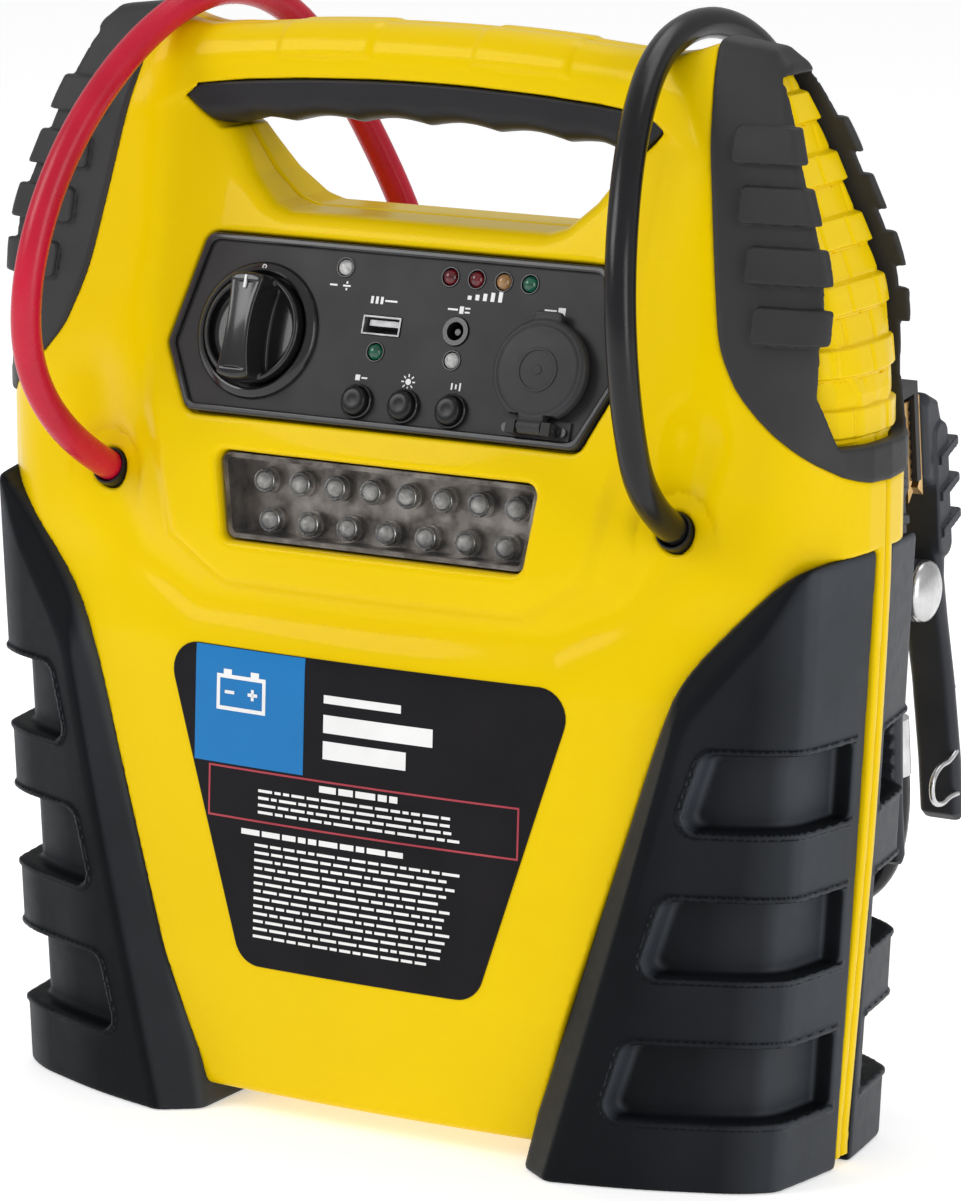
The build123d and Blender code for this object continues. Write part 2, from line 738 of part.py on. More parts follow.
def clamp_arm(ear_inner, ear_outer, hole):
    t = clamp_half_thickness
    arm = extrude(Plane.YZ * arm_profile(), amount=t, both=True)
    arm -= Rot(0, 90, 0) * Cylinder(ear_radius + 0.7, 4 * t)
    ear = Circle(ear_radius) + Pos(-9.0, 0) * Rectangle(9.0, 12.0)
    for side in (-1, 1):
        plate = extrude(Plane.YZ.offset(side * (ear_inner + ear_outer) / 2) * ear, amount=(ear_outer - ear_inner) / 2, both=True)
        arm += plate
    return arm - Rot(0, 90, 0) * Cylinder(hole / 2, 6 * t)


def jaw_plate():
    """A toothed copper plate on the inside of the front jaw."""
    edge = -blade_half - jaw_gap
    points = [(edge - 3.3, 29.0), (edge - 3.3, 60.5), (edge, 60.5)]
    for index in range(9):
        z = 59.5 - index * 3.0
        points += [(edge, z), (edge - 1.3, z - 1.5)]
    points += [(edge, 32.0)]
    return extrude(Plane.YZ * polygon(points), amount=clamp_half_thickness - 1.4, both=True)


def rivet():
    pin = Rot(0, 90, 0) * Cylinder(rivet_diameter / 2, 2 * clamp_half_thickness + 0.4)
    for side in (-1, 1):
        head = Pos(side * (clamp_half_thickness + 0.9), 0, 0) * Rot(0, 90, 0) * Cylinder(rivet_head / 2, 1.4)
        pin += head
    return pin


def clamp_spring():
    coil = Rot(0, 90, 0) * (Cylinder(6.2, 4.6) - Cylinder(rivet_diameter / 2 + 0.2, 10))
    leg = Pos(1.3, -9.4, -15.5) * Rot(-15.6, 0, 0) * Cylinder(0.9, 29.0)
    return coil + leg


def clamp_crimp():
    barrel = Pos(0, -10.4, crimp_end) * rod(10.0, 18.0)
    tongue = block((-2.8, -9.6, crimp_end + 17.0), (-0.2, -8.0, -11.0))
    return barrel + tongue


def holder(side):
    """A blade for the jaws to grip, on an arm from a plate that follows the shell."""
    frame = clamp_frame(side)
    t = clamp_half_thickness
    blade = frame * block((-t, -blade_half, 35.0), (t, blade_half, 66.0))
    arm = frame * block((-t, -24.0, 62.5), (t, blade_half, 66.0))
    plate = (envelope(-2.4) - envelope()) & block((clamp_x - 18, 10, 196), (clamp_x + 6, 60, 221))
    if side < 0:
        plate = flip_x(plate)
    web = frame * block((-1.5, -24.0, 60.0), (1.5, -blade_half - 18.5, 62.5))
    body = blade + arm + web
    return (body - envelope()) + plate


# --- battery and wiring ----------------------------------------------------

battery_case_top = battery_base + battery_height - 9.0
battery_lid_top = battery_case_top + 3.0


def battery():
    low = (-battery_length / 2, -battery_depth / 2, battery_base)
    box = block(low, (battery_length / 2, battery_depth / 2, battery_case_top))
    box = fillet(box.edges().filter_by(Axis.Z), 4.0)
    lid = block((-battery_length / 2 + 2, -battery_depth / 2 + 2, battery_case_top),
                (battery_length / 2 - 2, battery_depth / 2 - 2, battery_lid_top))
    return box + lid


def battery_terminals():
    posts = []
    for side in (-1, 1):
        x, y = side * (battery_length / 2 - 16), -battery_depth / 2 + 16
        posts.append(Pos(x, y, battery_lid_top) * Box(12, 12, 6, align=(Align.CENTER, Align.CENTER, Align.MIN)))
    return Compound(children=posts)


def battery_bracket():
    top, y = battery_lid_top, battery_depth / 2
    strap = block((-22, -y - 1.5, battery_base + 60), (22, -y, top + 2.0))
    strap += block((-22, -y - 1.5, top), (22, y + 1.5, top + 2.0))
    strap += block((-22, y, battery_base + 60), (22, y + 1.5, top + 2.0))
    return strap


def battery_pads():
    base = [block((x - 12, -30, underside + wall), (x + 12, 30, battery_base)) for x in (-38, 0, 38)]
    return Compound(children=base)


def control_board():
    board = Pos(0, 0, -12.0) * block((-28, 2, -1.6), (38, 52, 0))
    board -= Pos(usb_x, usb_s, 0) * Box(usb_width + 1, usb_height + 1, 60)
    board -= Pos(jack_x, jack_s, 0) * Box(jack_body + 1, jack_body + 1, 60)
    board -= Pos(outlet_x, outlet_s, -30) * rod(outlet_body + 2, 60)
    for x in button_x:
        board += Pos(x, button_s, -12.0) * rod(4.0, 12.0 - 7.0 - button_travel - 0.4)
    return on_panel(board)


def build():
    parts = {}
    shells_inside = envelope(upper_guard_depth)
    parts["front_shell"], parts["rear_shell"] = shells()
    guard = lower_guard()
    parts["front_right_corner_guard"] = guard
    parts["front_left_corner_guard"] = flip_x(guard)
    parts["rear_right_corner_guard"] = flip_y(guard)
    parts["rear_left_corner_guard"] = flip_x(flip_y(guard))
    shoulder = upper_guard(shells_inside)
    parts["right_shoulder_guard"] = shoulder
    parts["left_shoulder_guard"] = flip_x(shoulder)
    brick = side_panel(shells_inside)
    parts["right_side_panel"] = brick
    parts["left_side_panel"] = flip_x(brick)
    parts["handle_grip"] = handle_grip()
    parts["control_panel"] = control_panel()
    parts["switch_bezel"] = switch_bezel()
    parts["switch_knob"] = switch_knob()
    parts["switch_body"] = switch_body()
    for name, x in zip(button_names, button_x):
        parts[name] = button(x)
    parts["button_collars"] = button_collars()
    for name in led_groups:
        parts[name] = panel_leds(name)
    parts["usb_socket"] = usb_socket()
    parts["charge_jack"] = charge_jack()
    parts["outlet_barrel"] = outlet_barrel()
    parts["outlet_contact"] = outlet_contact()
    parts["outlet_cap"] = outlet_cap()
    parts["cap_hinge_lug"] = cap_hinge_lug()
    parts["cap_hinge_pin"] = cap_hinge_pin()
    parts["cap_lug_screws"] = cap_lug_screws()
    parts["lamp_lens"] = lamp_lens()
    parts["lamp_tray"] = lamp_tray()
    parts["lamp_leds"] = lamp_leds()
    parts["lamp_board"] = lamp_board()
    parts["control_board"] = control_board()
    parts["battery"] = battery()
    parts["battery_terminals"] = battery_terminals()
    parts["battery_bracket"] = battery_bracket()
    parts["battery_pads"] = battery_pads()
    parts["label_plate"] = label_plate()
    parts["case_screws"] = case_screws()
    parts["lead_grommets"] = lead_grommets()
    parts["black_lead"] = lead("black_lead", black_route, lead_diameter)
    parts["red_lead"] = lead("red_lead", red_route, lead_diameter)
    parts["clamp_holders"] = Compound(children=[holder(1), holder(-1)])
    outer_ears = clamp_arm(5.1, clamp_half_thickness, rivet_diameter)
    inner_ears = flip_y(clamp_arm(2.7, 4.8, rivet_diameter + 2 * running_gap))
    for colour, side in (("black", 1), ("red", -1)):
        frame = clamp_frame(side)
        parts[colour + "_clamp_front_arm"] = frame * outer_ears
        parts[colour + "_clamp_rear_arm"] = frame * inner_ears
        parts[colour + "_clamp_front_jaw"] = frame * jaw_plate()
        parts[colour + "_clamp_rear_jaw"] = frame * flip_y(jaw_plate())
        parts[colour + "_clamp_rivet"] = frame * rivet()
        parts[colour + "_clamp_spring"] = frame * clamp_spring()
        parts[colour + "_clamp_crimp"] = frame * clamp_crimp()
    return parts


os.makedirs("parts", exist_ok=True)
for name, shape in build().items():
    export_step(shape, "parts/" + name + ".step")
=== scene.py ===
import functools
import math

import bpy
import numpy as np
import openvdb
from mathutils import Matrix, Vector


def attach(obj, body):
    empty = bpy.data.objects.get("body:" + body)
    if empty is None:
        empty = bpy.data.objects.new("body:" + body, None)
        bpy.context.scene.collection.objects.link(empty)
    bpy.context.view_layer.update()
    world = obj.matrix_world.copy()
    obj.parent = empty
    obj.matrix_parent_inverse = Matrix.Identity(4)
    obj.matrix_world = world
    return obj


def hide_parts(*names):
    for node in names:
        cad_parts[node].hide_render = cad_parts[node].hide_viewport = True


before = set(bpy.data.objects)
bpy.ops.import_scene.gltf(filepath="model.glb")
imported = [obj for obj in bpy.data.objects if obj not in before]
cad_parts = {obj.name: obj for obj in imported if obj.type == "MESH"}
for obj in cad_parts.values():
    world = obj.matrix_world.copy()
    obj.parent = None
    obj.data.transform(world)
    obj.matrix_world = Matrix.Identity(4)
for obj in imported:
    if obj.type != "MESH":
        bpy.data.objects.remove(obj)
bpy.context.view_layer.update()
mm = 0.001


def newObject(name, data):
    piece = bpy.data.objects.new(name, data)
    bpy.context.collection.objects.link(piece)
    return piece


def newMesh(name, points, faces):
    mesh = bpy.data.meshes.new(name)
    mesh.from_pydata(points, [], faces)
    mesh.update()
    return mesh


# ---- camera: stands to the right of the pack and a little above it
cameraSettings = dict(azimuth=30.64, elevation=12.235, target=(0.0123, 0.0, 0.1585), distance=1.687,
                      lens=166.9)


def makeCamera(s):
    a, e = math.radians(s["azimuth"]), math.radians(s["elevation"])
    back = Vector((math.sin(a) * math.cos(e), -math.cos(a) * math.cos(e), math.sin(e)))
    data = bpy.data.cameras.new("camera")
    data.lens = s["lens"]
    camera = newObject("camera", data)
    camera.location = Vector(s["target"]) + back * s["distance"]
    camera.rotation_euler = back.to_track_quat("Z", "Y").to_euler()
    bpy.context.scene.camera = camera


makeCamera(cameraSettings)
bpy.context.scene.view_settings.view_transform = "Standard"
print("camera placed")


# ---- materials
def shaderOf(material):
    return material.node_tree.nodes["Principled BSDF"]


def addNode(material, kind, **values):
    node = material.node_tree.nodes.new(kind)
    for key, value in values.items():
        if key in node.inputs:
            node.inputs[key].default_value = value
        else:
            setattr(node, key, value)
    return node


def link(material, fromSocket, toSocket):
    material.node_tree.links.new(fromSocket, toSocket)


def newMaterial(name, color, roughness, metallic=0.0, coat=0.0, coatRoughness=0.1, alpha=1.0, specular=0.5):
    material = bpy.data.materials.new(name)
    material.use_nodes = True
    values = {"Base Color": (*color, 1.0), "Roughness": roughness, "Metallic": metallic, "Coat Weight": coat,
              "Coat Roughness": coatRoughness, "Alpha": alpha, "Specular IOR Level": specular}
    for key, value in values.items():
        shaderOf(material).inputs[key].default_value = value
    return material


def noiseOn(material, scale, detail=3.0, roughness=0.5):
    place = addNode(material, "ShaderNodeTexCoord")
    noise = addNode(material, "ShaderNodeTexNoise", Scale=scale, Detail=detail, Roughness=roughness)
    link(material, place.outputs["Object"], noise.inputs["Vector"])
    return noise.outputs["Fac"]


def varyColor(material, scale, dark, light):
    # slow patches between two shades of the same colour
    ramp = addNode(material, "ShaderNodeValToRGB")
    for index, position, color in ((0, 0.3, dark), (1, 0.7, light)):
        ramp.color_ramp.elements[index].position = position
        ramp.color_ramp.elements[index].color = (*color, 1.0)
    link(material, noiseOn(material, scale), ramp.inputs["Fac"])
    link(material, ramp.outputs["Color"], shaderOf(material).inputs["Base Color"])


def varyRoughness(material, scale, low, high):
    spread = addNode(material, "ShaderNodeMapRange", **{"To Min": low, "To Max": high})
    link(material, noiseOn(material, scale, 4.0), spread.inputs["Value"])
    link(material, spread.outputs["Result"], shaderOf(material).inputs["Roughness"])


def addGrain(material, scale, height, strength):
    # moulded surface texture as a fine bump
    bump = addNode(material, "ShaderNodeBump", Strength=strength, Distance=height)
    link(material, noiseOn(material, scale, 4.0, 0.6), bump.inputs["Height"])
    link(material, bump.outputs["Normal"], shaderOf(material).inputs["Normal"])


def shellMaterial():
    m = newMaterial("yellowShell", (0.8, 0.55, 0.0), 0.3, coat=0.1, coatRoughness=0.08, specular=0.2)
    shaderOf(m).inputs["Specular Tint"].default_value = (1.0, 0.75, 0.1, 1.0)
    varyColor(m, 9.0, (0.77, 0.525, 0.0), (0.82, 0.57, 0.0))
    varyRoughness(m, 60.0, 0.26, 0.4)
    addGrain(m, 1800.0, 0.00003, 0.5)
    return m


def rubberMaterial(name, dark, light, roughness, grain=0.00012, specular=0.3):
    m = newMaterial(name, light, roughness, specular=specular)
    varyColor(m, 30.0, dark, light)
    varyRoughness(m, 220.0, roughness - 0.07, roughness + 0.1)
    addGrain(m, 1400.0, grain, 0.6)
    return m


def plasticMaterial(name, dark, light, roughness, coat=0.0, grain=0.00004, specular=0.3):
    m = newMaterial(name, light, roughness, coat=coat, specular=specular)
    varyColor(m, 50.0, dark, light)
    varyRoughness(m, 120.0, roughness * 0.85, roughness * 1.2)
    addGrain(m, 2200.0, grain, 0.5)
    return m


def metalMaterial(name, dark, light, roughness, grain=0.00003):
    m = newMaterial(name, light, roughness, metallic=1.0)
    varyColor(m, 160.0, dark, light)
    varyRoughness(m, 300.0, roughness * 0.7, roughness * 1.5)
    addGrain(m, 900.0, grain, 0.6)
    return m


def clearMaterial(name, color, alpha, roughness=0.05):
    m = newMaterial(name, color, roughness, alpha=alpha, specular=0.8)
    shaderOf(m).inputs["IOR"].default_value = 1.55
    varyRoughness(m, 90.0, roughness * 0.6, roughness * 1.8)
    return m


def guardMaterial():
    # painted shade: flats that face forward get a darker colour and a weaker reflection than the ones that face
    # sideways, standing in for how the light falls on them
    m = rubberMaterial("guardRubber", (0.024, 0.028, 0.034), (0.034, 0.039, 0.048), 0.48)
    paintedShade = 0.22
    shader = shaderOf(m)
    place = addNode(m, "ShaderNodeTexCoord")
    apart = addNode(m, "ShaderNodeSeparateXYZ")
    link(m, place.outputs["Normal"], apart.inputs["Vector"])
    sideways = addNode(m, "ShaderNodeMath", operation="ABSOLUTE")
    link(m, apart.outputs["X"], sideways.inputs[0])
    # painted shade: forward-facing flats take the darker colour, sideways-facing ones the full colour
    share = addNode(m, "ShaderNodeMapRange",
                    **{"From Min": 0.3, "From Max": 0.85, "To Min": paintedShade, "To Max": 1.0})
    link(m, sideways.outputs["Value"], share.inputs["Value"])
    shade = addNode(m, "ShaderNodeVectorMath", operation="SCALE")
    link(m, shader.inputs["Base Color"].links[0].from_socket, shade.inputs[0])
    link(m, share.outputs["Result"], shade.inputs["Scale"])
    link(m, shade.outputs["Vector"], shader.inputs["Base Color"])
    # painted reflection: forward-facing flats also get a weaker specular
    paintedSheen = addNode(m, "ShaderNodeMath", operation="MULTIPLY")
    paintedSheen.inputs[1].default_value = 0.22
    link(m, share.outputs["Result"], paintedSheen.inputs[0])
    link(m, paintedSheen.outputs["Value"], shader.inputs["Specular IOR Level"])
    return m


def lampMaterial(name, dark, light):
    m = newMaterial(name, light, 0.12, coat=0.3, coatRoughness=0.05)
    varyColor(m, 500.0, dark, light)
    return m


# each look: dark and light shade, roughness, then what the recipe takes after those
looks = {
    rubberMaterial: dict(
        shoulderRubber=((0.026, 0.026, 0.027), (0.036, 0.036, 0.037), 0.5, 0.00012, 0.25),
        gripRubber=((0.01, 0.01, 0.012), (0.017, 0.017, 0.02), 0.42, 0.00012, 0.25),
        buttonRubber=((0.005, 0.005, 0.006), (0.009, 0.009, 0.01), 0.28, 0.00004),
        capRubber=((0.022, 0.022, 0.024), (0.034, 0.034, 0.036), 0.48, 0.00008),
        leadBlack=((0.005, 0.005, 0.006), (0.01, 0.01, 0.012), 0.22, 0.00005),
        leadRed=((0.43, 0.005, 0.026), (0.55, 0.01, 0.038), 0.26, 0.00005),
        clampBlack=((0.018, 0.02, 0.026), (0.034, 0.037, 0.046), 0.4, 0.00008),
        clampRed=((0.42, 0.008, 0.02), (0.6, 0.02, 0.035), 0.4, 0.00008)),
    plasticMaterial: dict(
        panelPlastic=((0.019, 0.018, 0.018), (0.027, 0.026, 0.026), 0.4, 0.0, 0.00004, 0.25),
        knobPlastic=((0.008, 0.008, 0.009), (0.014, 0.014, 0.015), 0.2, 0.4),
        boardGreen=((0.02, 0.12, 0.05), (0.04, 0.18, 0.08), 0.5),
        batteryGrey=((0.08, 0.08, 0.09), (0.12, 0.12, 0.13), 0.5),
        labelFilm=((0.005, 0.0045, 0.006), (0.008, 0.007, 0.009), 0.4, 0.0, 0.00001, 0.12),
        labelBlue=((0.0, 0.15, 0.42), (0.0, 0.17, 0.46), 0.35, 0.0, 0.00001),
        labelWhite=((0.75, 0.75, 0.75), (0.85, 0.85, 0.85), 0.4, 0.0, 0.00001),
        labelRed=((0.32, 0.03, 0.05), (0.42, 0.05, 0.07), 0.4, 0.0, 0.00001)),
    metalMaterial: dict(
        steel=((0.5, 0.5, 0.5), (0.68, 0.68, 0.69), 0.25),
        brass=((0.6, 0.42, 0.18), (0.75, 0.56, 0.28), 0.3),
        copper=((0.6, 0.36, 0.12), (0.8, 0.52, 0.22), 0.3),
        reflector=((0.1, 0.086, 0.077), (0.46, 0.42, 0.385), 0.3, 0.0003),
        bracketSteel=((0.3, 0.3, 0.31), (0.45, 0.45, 0.46), 0.45)),
    lampMaterial: dict(
        ledRed=((0.045, 0.001, 0.003), (0.16, 0.004, 0.01)),
        ledAmber=((0.2, 0.1, 0.03), (0.36, 0.2, 0.08)),
        ledGreen=((0.0, 0.05, 0.025), (0.01, 0.12, 0.07)),
        ledClear=((0.28, 0.28, 0.28), (0.62, 0.62, 0.61))),
}
materials = {name: recipe(name, *look) for recipe, group in looks.items() for name, look in group.items()}
materials["yellowShell"] = shellMaterial()
materials["guardRubber"] = guardMaterial()
materials["lensClear"] = clearMaterial("lensClear", (0.03, 0.03, 0.03), 0.12)
print("materials made:", len(materials))


def finishPiece(piece, slot, *nodes, body="case"):
    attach(piece, body)
    if nodes:
        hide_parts(*nodes)
    return piece


def makeTube(name, places, steps, radius, roundness, material):
    # a round wire along a smooth curve that the places lead
    curve = bpy.data.curves.new(name, "CURVE")
    curve.dimensions = "3D"
    spline = curve.splines.new("NURBS")
    spline.points.add(len(places) - 1)
    for point, place in zip(spline.points, places):
        point.co = (*place, 1.0)
    spline.order_u = 3
    spline.use_endpoint_u = True
    spline.resolution_u = steps
    curve.bevel_depth = radius
    curve.bevel_resolution = roundness
    curve.use_fill_caps = True
    curve.materials.append(materials[material])
    return newObject(name, curve)


# ---- the two jump leads
leadDiameter = 0.0092
blackRoute = [
    (0.0984, -0.02797, 0.19159), (0.0984, -0.0535, 0.20307), (0.1, -0.0685, 0.236), (0.098, -0.069, 0.274),
    (0.0895, -0.047, 0.311), (0.082, -0.016, 0.334), (0.083, 0.019, 0.3385), (0.086, 0.051, 0.321),
    (0.085, 0.066, 0.284), (0.079, 0.067, 0.235), (0.07, 0.069, 0.181), (0.062, 0.0715, 0.128),
    (0.058, 0.072, 0.0795), (0.0767, 0.0705, 0.0605), (0.1033, 0.0675, 0.0602), (0.122, 0.0657, 0.079),
    (0.122, 0.0625, 0.1051),
]
redRoute = [
    (-0.0984, -0.02797, 0.19159), (-0.0984, -0.0535, 0.20307), (-0.1035, -0.072, 0.229),
    (-0.101, -0.0745, 0.262), (-0.0975, -0.058, 0.297), (-0.091, -0.028, 0.3265), (-0.0825, 0.005, 0.341),
    (-0.076, 0.038, 0.33),
    (-0.066, 0.057, 0.298), (-0.05, 0.063, 0.262), (-0.036, 0.066, 0.216), (-0.031, 0.069, 0.172),
    (-0.034, 0.071, 0.134), (-0.043, 0.072, 0.104), (-0.056, 0.072, 0.078), (-0.077, 0.0705, 0.0605),
    (-0.1033, 0.0675, 0.0602), (-0.122, 0.0657, 0.079), (-0.122, 0.0625, 0.1051),
]


def makeLead(color, route):
    lead = makeTube(color + "Lead", route, 10, leadDiameter / 2, 7, "lead" + color.capitalize())
    finishPiece(lead, "lead_" + color, color + "_lead")


makeLead("black", blackRoute)
makeLead("red", redRoute)
print("leads laid")


# ---- solids worked out as fields: distance to the surface in millimetres, negative inside
def smoothMax(a, b, radius):
    reach = np.maximum(radius - np.abs(a - b), 0.0) / radius
    return np.maximum(a, b) + reach * reach * radius * 0.25


def smoothMin(a, b, radius):
    return -smoothMax(-a, -b, radius)


def cutAway(body, tool, radius):
    return smoothMax(body, -tool, radius)


def allOf(*fields):
    # inside only where every field is inside
    return functools.reduce(np.maximum, fields)


def softStep(value, width):
    t = np.clip(0.5 + value / width, 0.0, 1.0)
    return t * t * (3.0 - 2.0 * t)


def box(left, bottom, right, top):
    return [(left, bottom), (right, bottom), (right, top), (left, top)]


def edges(points):
    # the sides of a closed outline
    return zip(points, points[1:] + points[:1])


def insetOutline(points, inset):
    area = sum(a[0] * b[1] - b[0] * a[1] for a, b in edges(points))
    turn = 1.0 if area > 0 else -1.0
    result = []
    for before, here, after in zip(points[-1:] + points[:-1], points, points[1:] + points[:1]):
        first = (Vector(here) - Vector(before)).normalized()
        second = (Vector(after) - Vector(here)).normalized()
        normals = (Vector((-first.y, first.x)) + Vector((-second.y, second.x))) * turn
        shift = normals * (2 * inset / normals.dot(normals))
        result.append((here[0] + shift.x, here[1] + shift.y))
    return result


def toSegment(u, v, ax, ay, bx, by):
    # squared distance to a straight stretch
    ex, ey = bx - ax, by - ay
    du, dv = u - ax, v - ay
    t = np.clip((du * ex + dv * ey) / (ex * ex + ey * ey), 0.0, 1.0)
    return (du - ex * t) ** 2 + (dv - ey * t) ** 2


def outlineDistance(u, v, points, rounding=0.0):
    if rounding:
        points = insetOutline(points, rounding)
    nearest, inside = 1e9, False
    for (ax, ay), (bx, by) in edges(points):
        nearest = np.minimum(nearest, toSegment(u, v, ax, ay, bx, by))
        if by != ay:
            inside = inside ^ (((ay > v) != (by > v)) & (u - ax < (bx - ax) * (v - ay) / (by - ay)))
    return np.where(inside, -1.0, 1.0) * np.sqrt(nearest) - rounding


def mirroredOutline(points):
    return list(points) + [(-x, z) for x, z in reversed(points)]


def lineDistance(u, v, points):
    nearest = 1e9
    for a, b in zip(points, points[1:]):
        nearest = np.minimum(nearest, toSegment(u, v, *a, *b))
    return np.sqrt(nearest)


def slope(field, points, step=0.04):
    result = np.empty_like(points)
    for axis in range(3):
        ahead, behind = points.copy(), points.copy()
        ahead[:, axis] += step
        behind[:, axis] -= step
        result[:, axis] = (field(*ahead.T) - field(*behind.T)) / (2 * step)
    return result


def settle(field, points, voxel, rounds=4):
    # slides every vertex onto the surface itself
    for _ in range(rounds):
        gradient = slope(field, points)
        value = field(*points.T)
        square = np.maximum((gradient ** 2).sum(axis=1), 0.2)
        step = -gradient * (value / square)[:, None]
        length = np.maximum(np.sqrt((step ** 2).sum(axis=1)), 1e-9)
        points = points + step * np.minimum(1.0, 0.6 * voxel / length)[:, None]
    return points


def smoothShade(mesh):
    mesh.polygons.foreach_set("use_smooth", np.ones(len(mesh.polygons), dtype=bool))


def fieldPiece(name, field, low, high, voxels, material, most=180000, matrix=None):
    # the surface of a field as a mesh; voxels are the quick and the full size
    voxel = voxels[1]
    axes = [np.arange(a - 2 * voxel, b + 3 * voxel, voxel) for a, b in zip(low, high)]
    x, y, z = axes[0][:, None, None], axes[1][None, :, None], axes[2][None, None, :]
    shape = tuple(len(a) for a in axes)
    values = np.clip(np.broadcast_to(field(x, y, z), shape), -3 * voxel, 3 * voxel)
    grid = openvdb.FloatGrid()
    grid.background = 3 * voxel
    grid.copyFromArray(np.ascontiguousarray(values, dtype=np.float32))
    points, quads = grid.convertToQuads(0.0)
    points = points.astype(np.float64) * voxel + np.array([a[0] for a in axes])
    points = settle(field, points, voxel)
    a, b, c = (points[quads[:, i]] for i in range(3))
    facing = (np.cross(b - a, c - a) * slope(field, a)).sum()
    if facing < 0:
        quads = quads[:, ::-1]
    mesh = bpy.data.meshes.new(name)
    mesh.vertices.add(len(points))
    mesh.vertices.foreach_set("co", (points * mm).ravel())
    mesh.loops.add(4 * len(quads))
    mesh.loops.foreach_set("vertex_index", np.ascontiguousarray(quads, dtype=np.int32).ravel())
    mesh.polygons.add(len(quads))
    mesh.polygons.foreach_set("loop_start", np.arange(0, 4 * len(quads), 4, dtype=np.int32))
    mesh.update(calc_edges=True)
    mesh.validate()
    mesh.materials.append(materials[material])
    piece = newObject(name, mesh)
    triangles = 2 * len(quads)
    if triangles > most:
        fewer = piece.modifiers.new("fewer", "DECIMATE")
        fewer.ratio = most / triangles
        flatten(piece)
    mesh = piece.data
    found = np.empty(3 * len(mesh.vertices))
    mesh.vertices.foreach_get("co", found)
    found = settle(field, found.reshape(-1, 3) / mm, voxel, 2)
    mesh.vertices.foreach_set("co", (found * mm).ravel())
    normals = slope(field, found)
    normals /= np.maximum(np.sqrt((normals ** 2).sum(axis=1)), 1e-9)[:, None]
    smoothShade(mesh)
    mesh.update()
    mesh.normals_split_custom_set_from_vertices(normals)
    if matrix:
        mesh.transform(matrix)
    print(name, len(mesh.polygons), "faces")
    return piece


def flatten(piece):
    # turns a piece with live modifiers into a plain mesh
    graph = bpy.context.evaluated_depsgraph_get()
    mesh = bpy.data.meshes.new_from_object(piece.evaluated_get(graph))
    old = piece.data
    piece.modifiers.clear()
    piece.data = mesh
    bpy.data.meshes.remove(old)


def mirroredCopy(piece, name, flipX=False, flipY=False):
    mesh = piece.data.copy()
    sign = Vector((-1.0 if flipX else 1.0, -1.0 if flipY else 1.0, 1.0))
    normals = np.empty(3 * len(mesh.vertices))
    mesh.vertices.foreach_get("normal", normals)
    normals = normals.reshape(-1, 3) * np.array(sign)
    mesh.transform(Matrix.Diagonal((*sign, 1.0)))
    if flipX != flipY:
        mesh.flip_normals()
    mesh.update()
    mesh.normals_split_custom_set_from_vertices(normals)
    return newObject(name, mesh)


def finishBothSides(piece, slot, ending):
    finishPiece(piece, slot, "right_" + ending)
    finishPiece(mirroredCopy(piece, piece.name.replace("right", "left"), flipX=True), slot, "left_" + ending)


# ---- the case: what its outside is made of, in millimetres
case = dict(crown=850.0, edge=3.0, cornerEdge=6.0, guardSide=13.0, guardDepth=8.0, shoulderDepth=5.0,
            seatGap=0.6, stripHalf=4.0, flare=1.9, plateauHeight=2.0, plateauSlope=6.0, valleyDepth=2.6,
            valleyWidth=8.0, footX=129.5, footZ=6.0)
profile = [(7, 48.0), (49, 53.1), (146, 48.3), (166, 45.2), (179, 44.6), (205, 42.0), (232, 40.8), (247, 39.5),
           (259, 36.0), (306, 25.4), (325.5, 16.1), (333.5, 10.0)]
profileZ = np.arange(-20.0, 380.0, 1.0)
softening = np.hanning(15) / np.hanning(15).sum()
profileDepth = np.convolve(np.pad(np.interp(profileZ, *zip(*profile)), 7, mode="edge"), softening, mode="valid")

caseFront = [(137.5, 7.0), (144.8, 98.0), (150.5, 181.0), (151.0, 212.0), (149.5, 236.0), (141.5, 265.0),
             (128.0, 300.0), (118.0, 327.5), (113.5, 331.5), (96.5, 333.5), (86.5, 327.5), (80.5, 323.5)]
frontRing = mirroredOutline(caseFront)
casePlan = [(151.0, 0.0), (149.5, -10.0), (144.5, -19.5), (135.5, -30.0), (122.0, -45.0), (98.5, -53.1),
            (65.5, -56.1), (0.0, -61.0)]
planRing = casePlan + [(-x, y) for x, y in reversed(casePlan[:-1])]
planRing += [(-x, -y) for x, y in casePlan[1:]] + [(x, -y) for x, y in reversed(casePlan[1:-1])]
plateau = mirroredOutline([(52.0, 165.0), (72.0, 178.0), (82.0, 216.0), (84.0, 262.0), (84.0, 320.0)])
valley = [(104.0, 222.0), (97.0, 190.0), (84.0, 172.0), (62.0, 160.0), (0.0, 159.0)]
recessOutline = mirroredOutline([(70.0, -6.0), (81.0, 13.0), (80.5, 22.0), (73.5, 56.0), (74.0, 115.0)])
handHole = mirroredOutline([(45.0, 275.4), (51.0, 277.4), (59.5, 285.0), (68.7, 298.2), (72.0, 303.0),
                            (72.0, 370.0)])
screwSpots = ((112.0, 30.0), (118.0, 160.0), (96.0, 250.0))


def plainDepth(x, z):
    depth = np.interp(z, profileZ, profileDepth)
    return depth - x * x / (2 * (case["crown"] + depth))


def faceDepth(x, z):
    # the plain depth with a raised middle and a shallow valley round it
    ax = np.abs(x)
    raised = case["plateauHeight"] * softStep(-outlineDistance(ax, z, plateau), case["plateauSlope"])
    depth = plainDepth(x, z) + raised
    return depth - case["valleyDepth"] * np.exp(-(lineDistance(ax, z, valley) / case["valleyWidth"]) ** 2)


def envelope(x, y, z, depth=plainDepth):
    front = (np.abs(y) - depth(x, z)) * 0.97
    sides = outlineDistance(x, z, frontRing, 2.0)
    corners = outlineDistance(x, y, planRing)
    return smoothMax(smoothMax(front, sides, case["edge"]), corners, case["cornerEdge"])


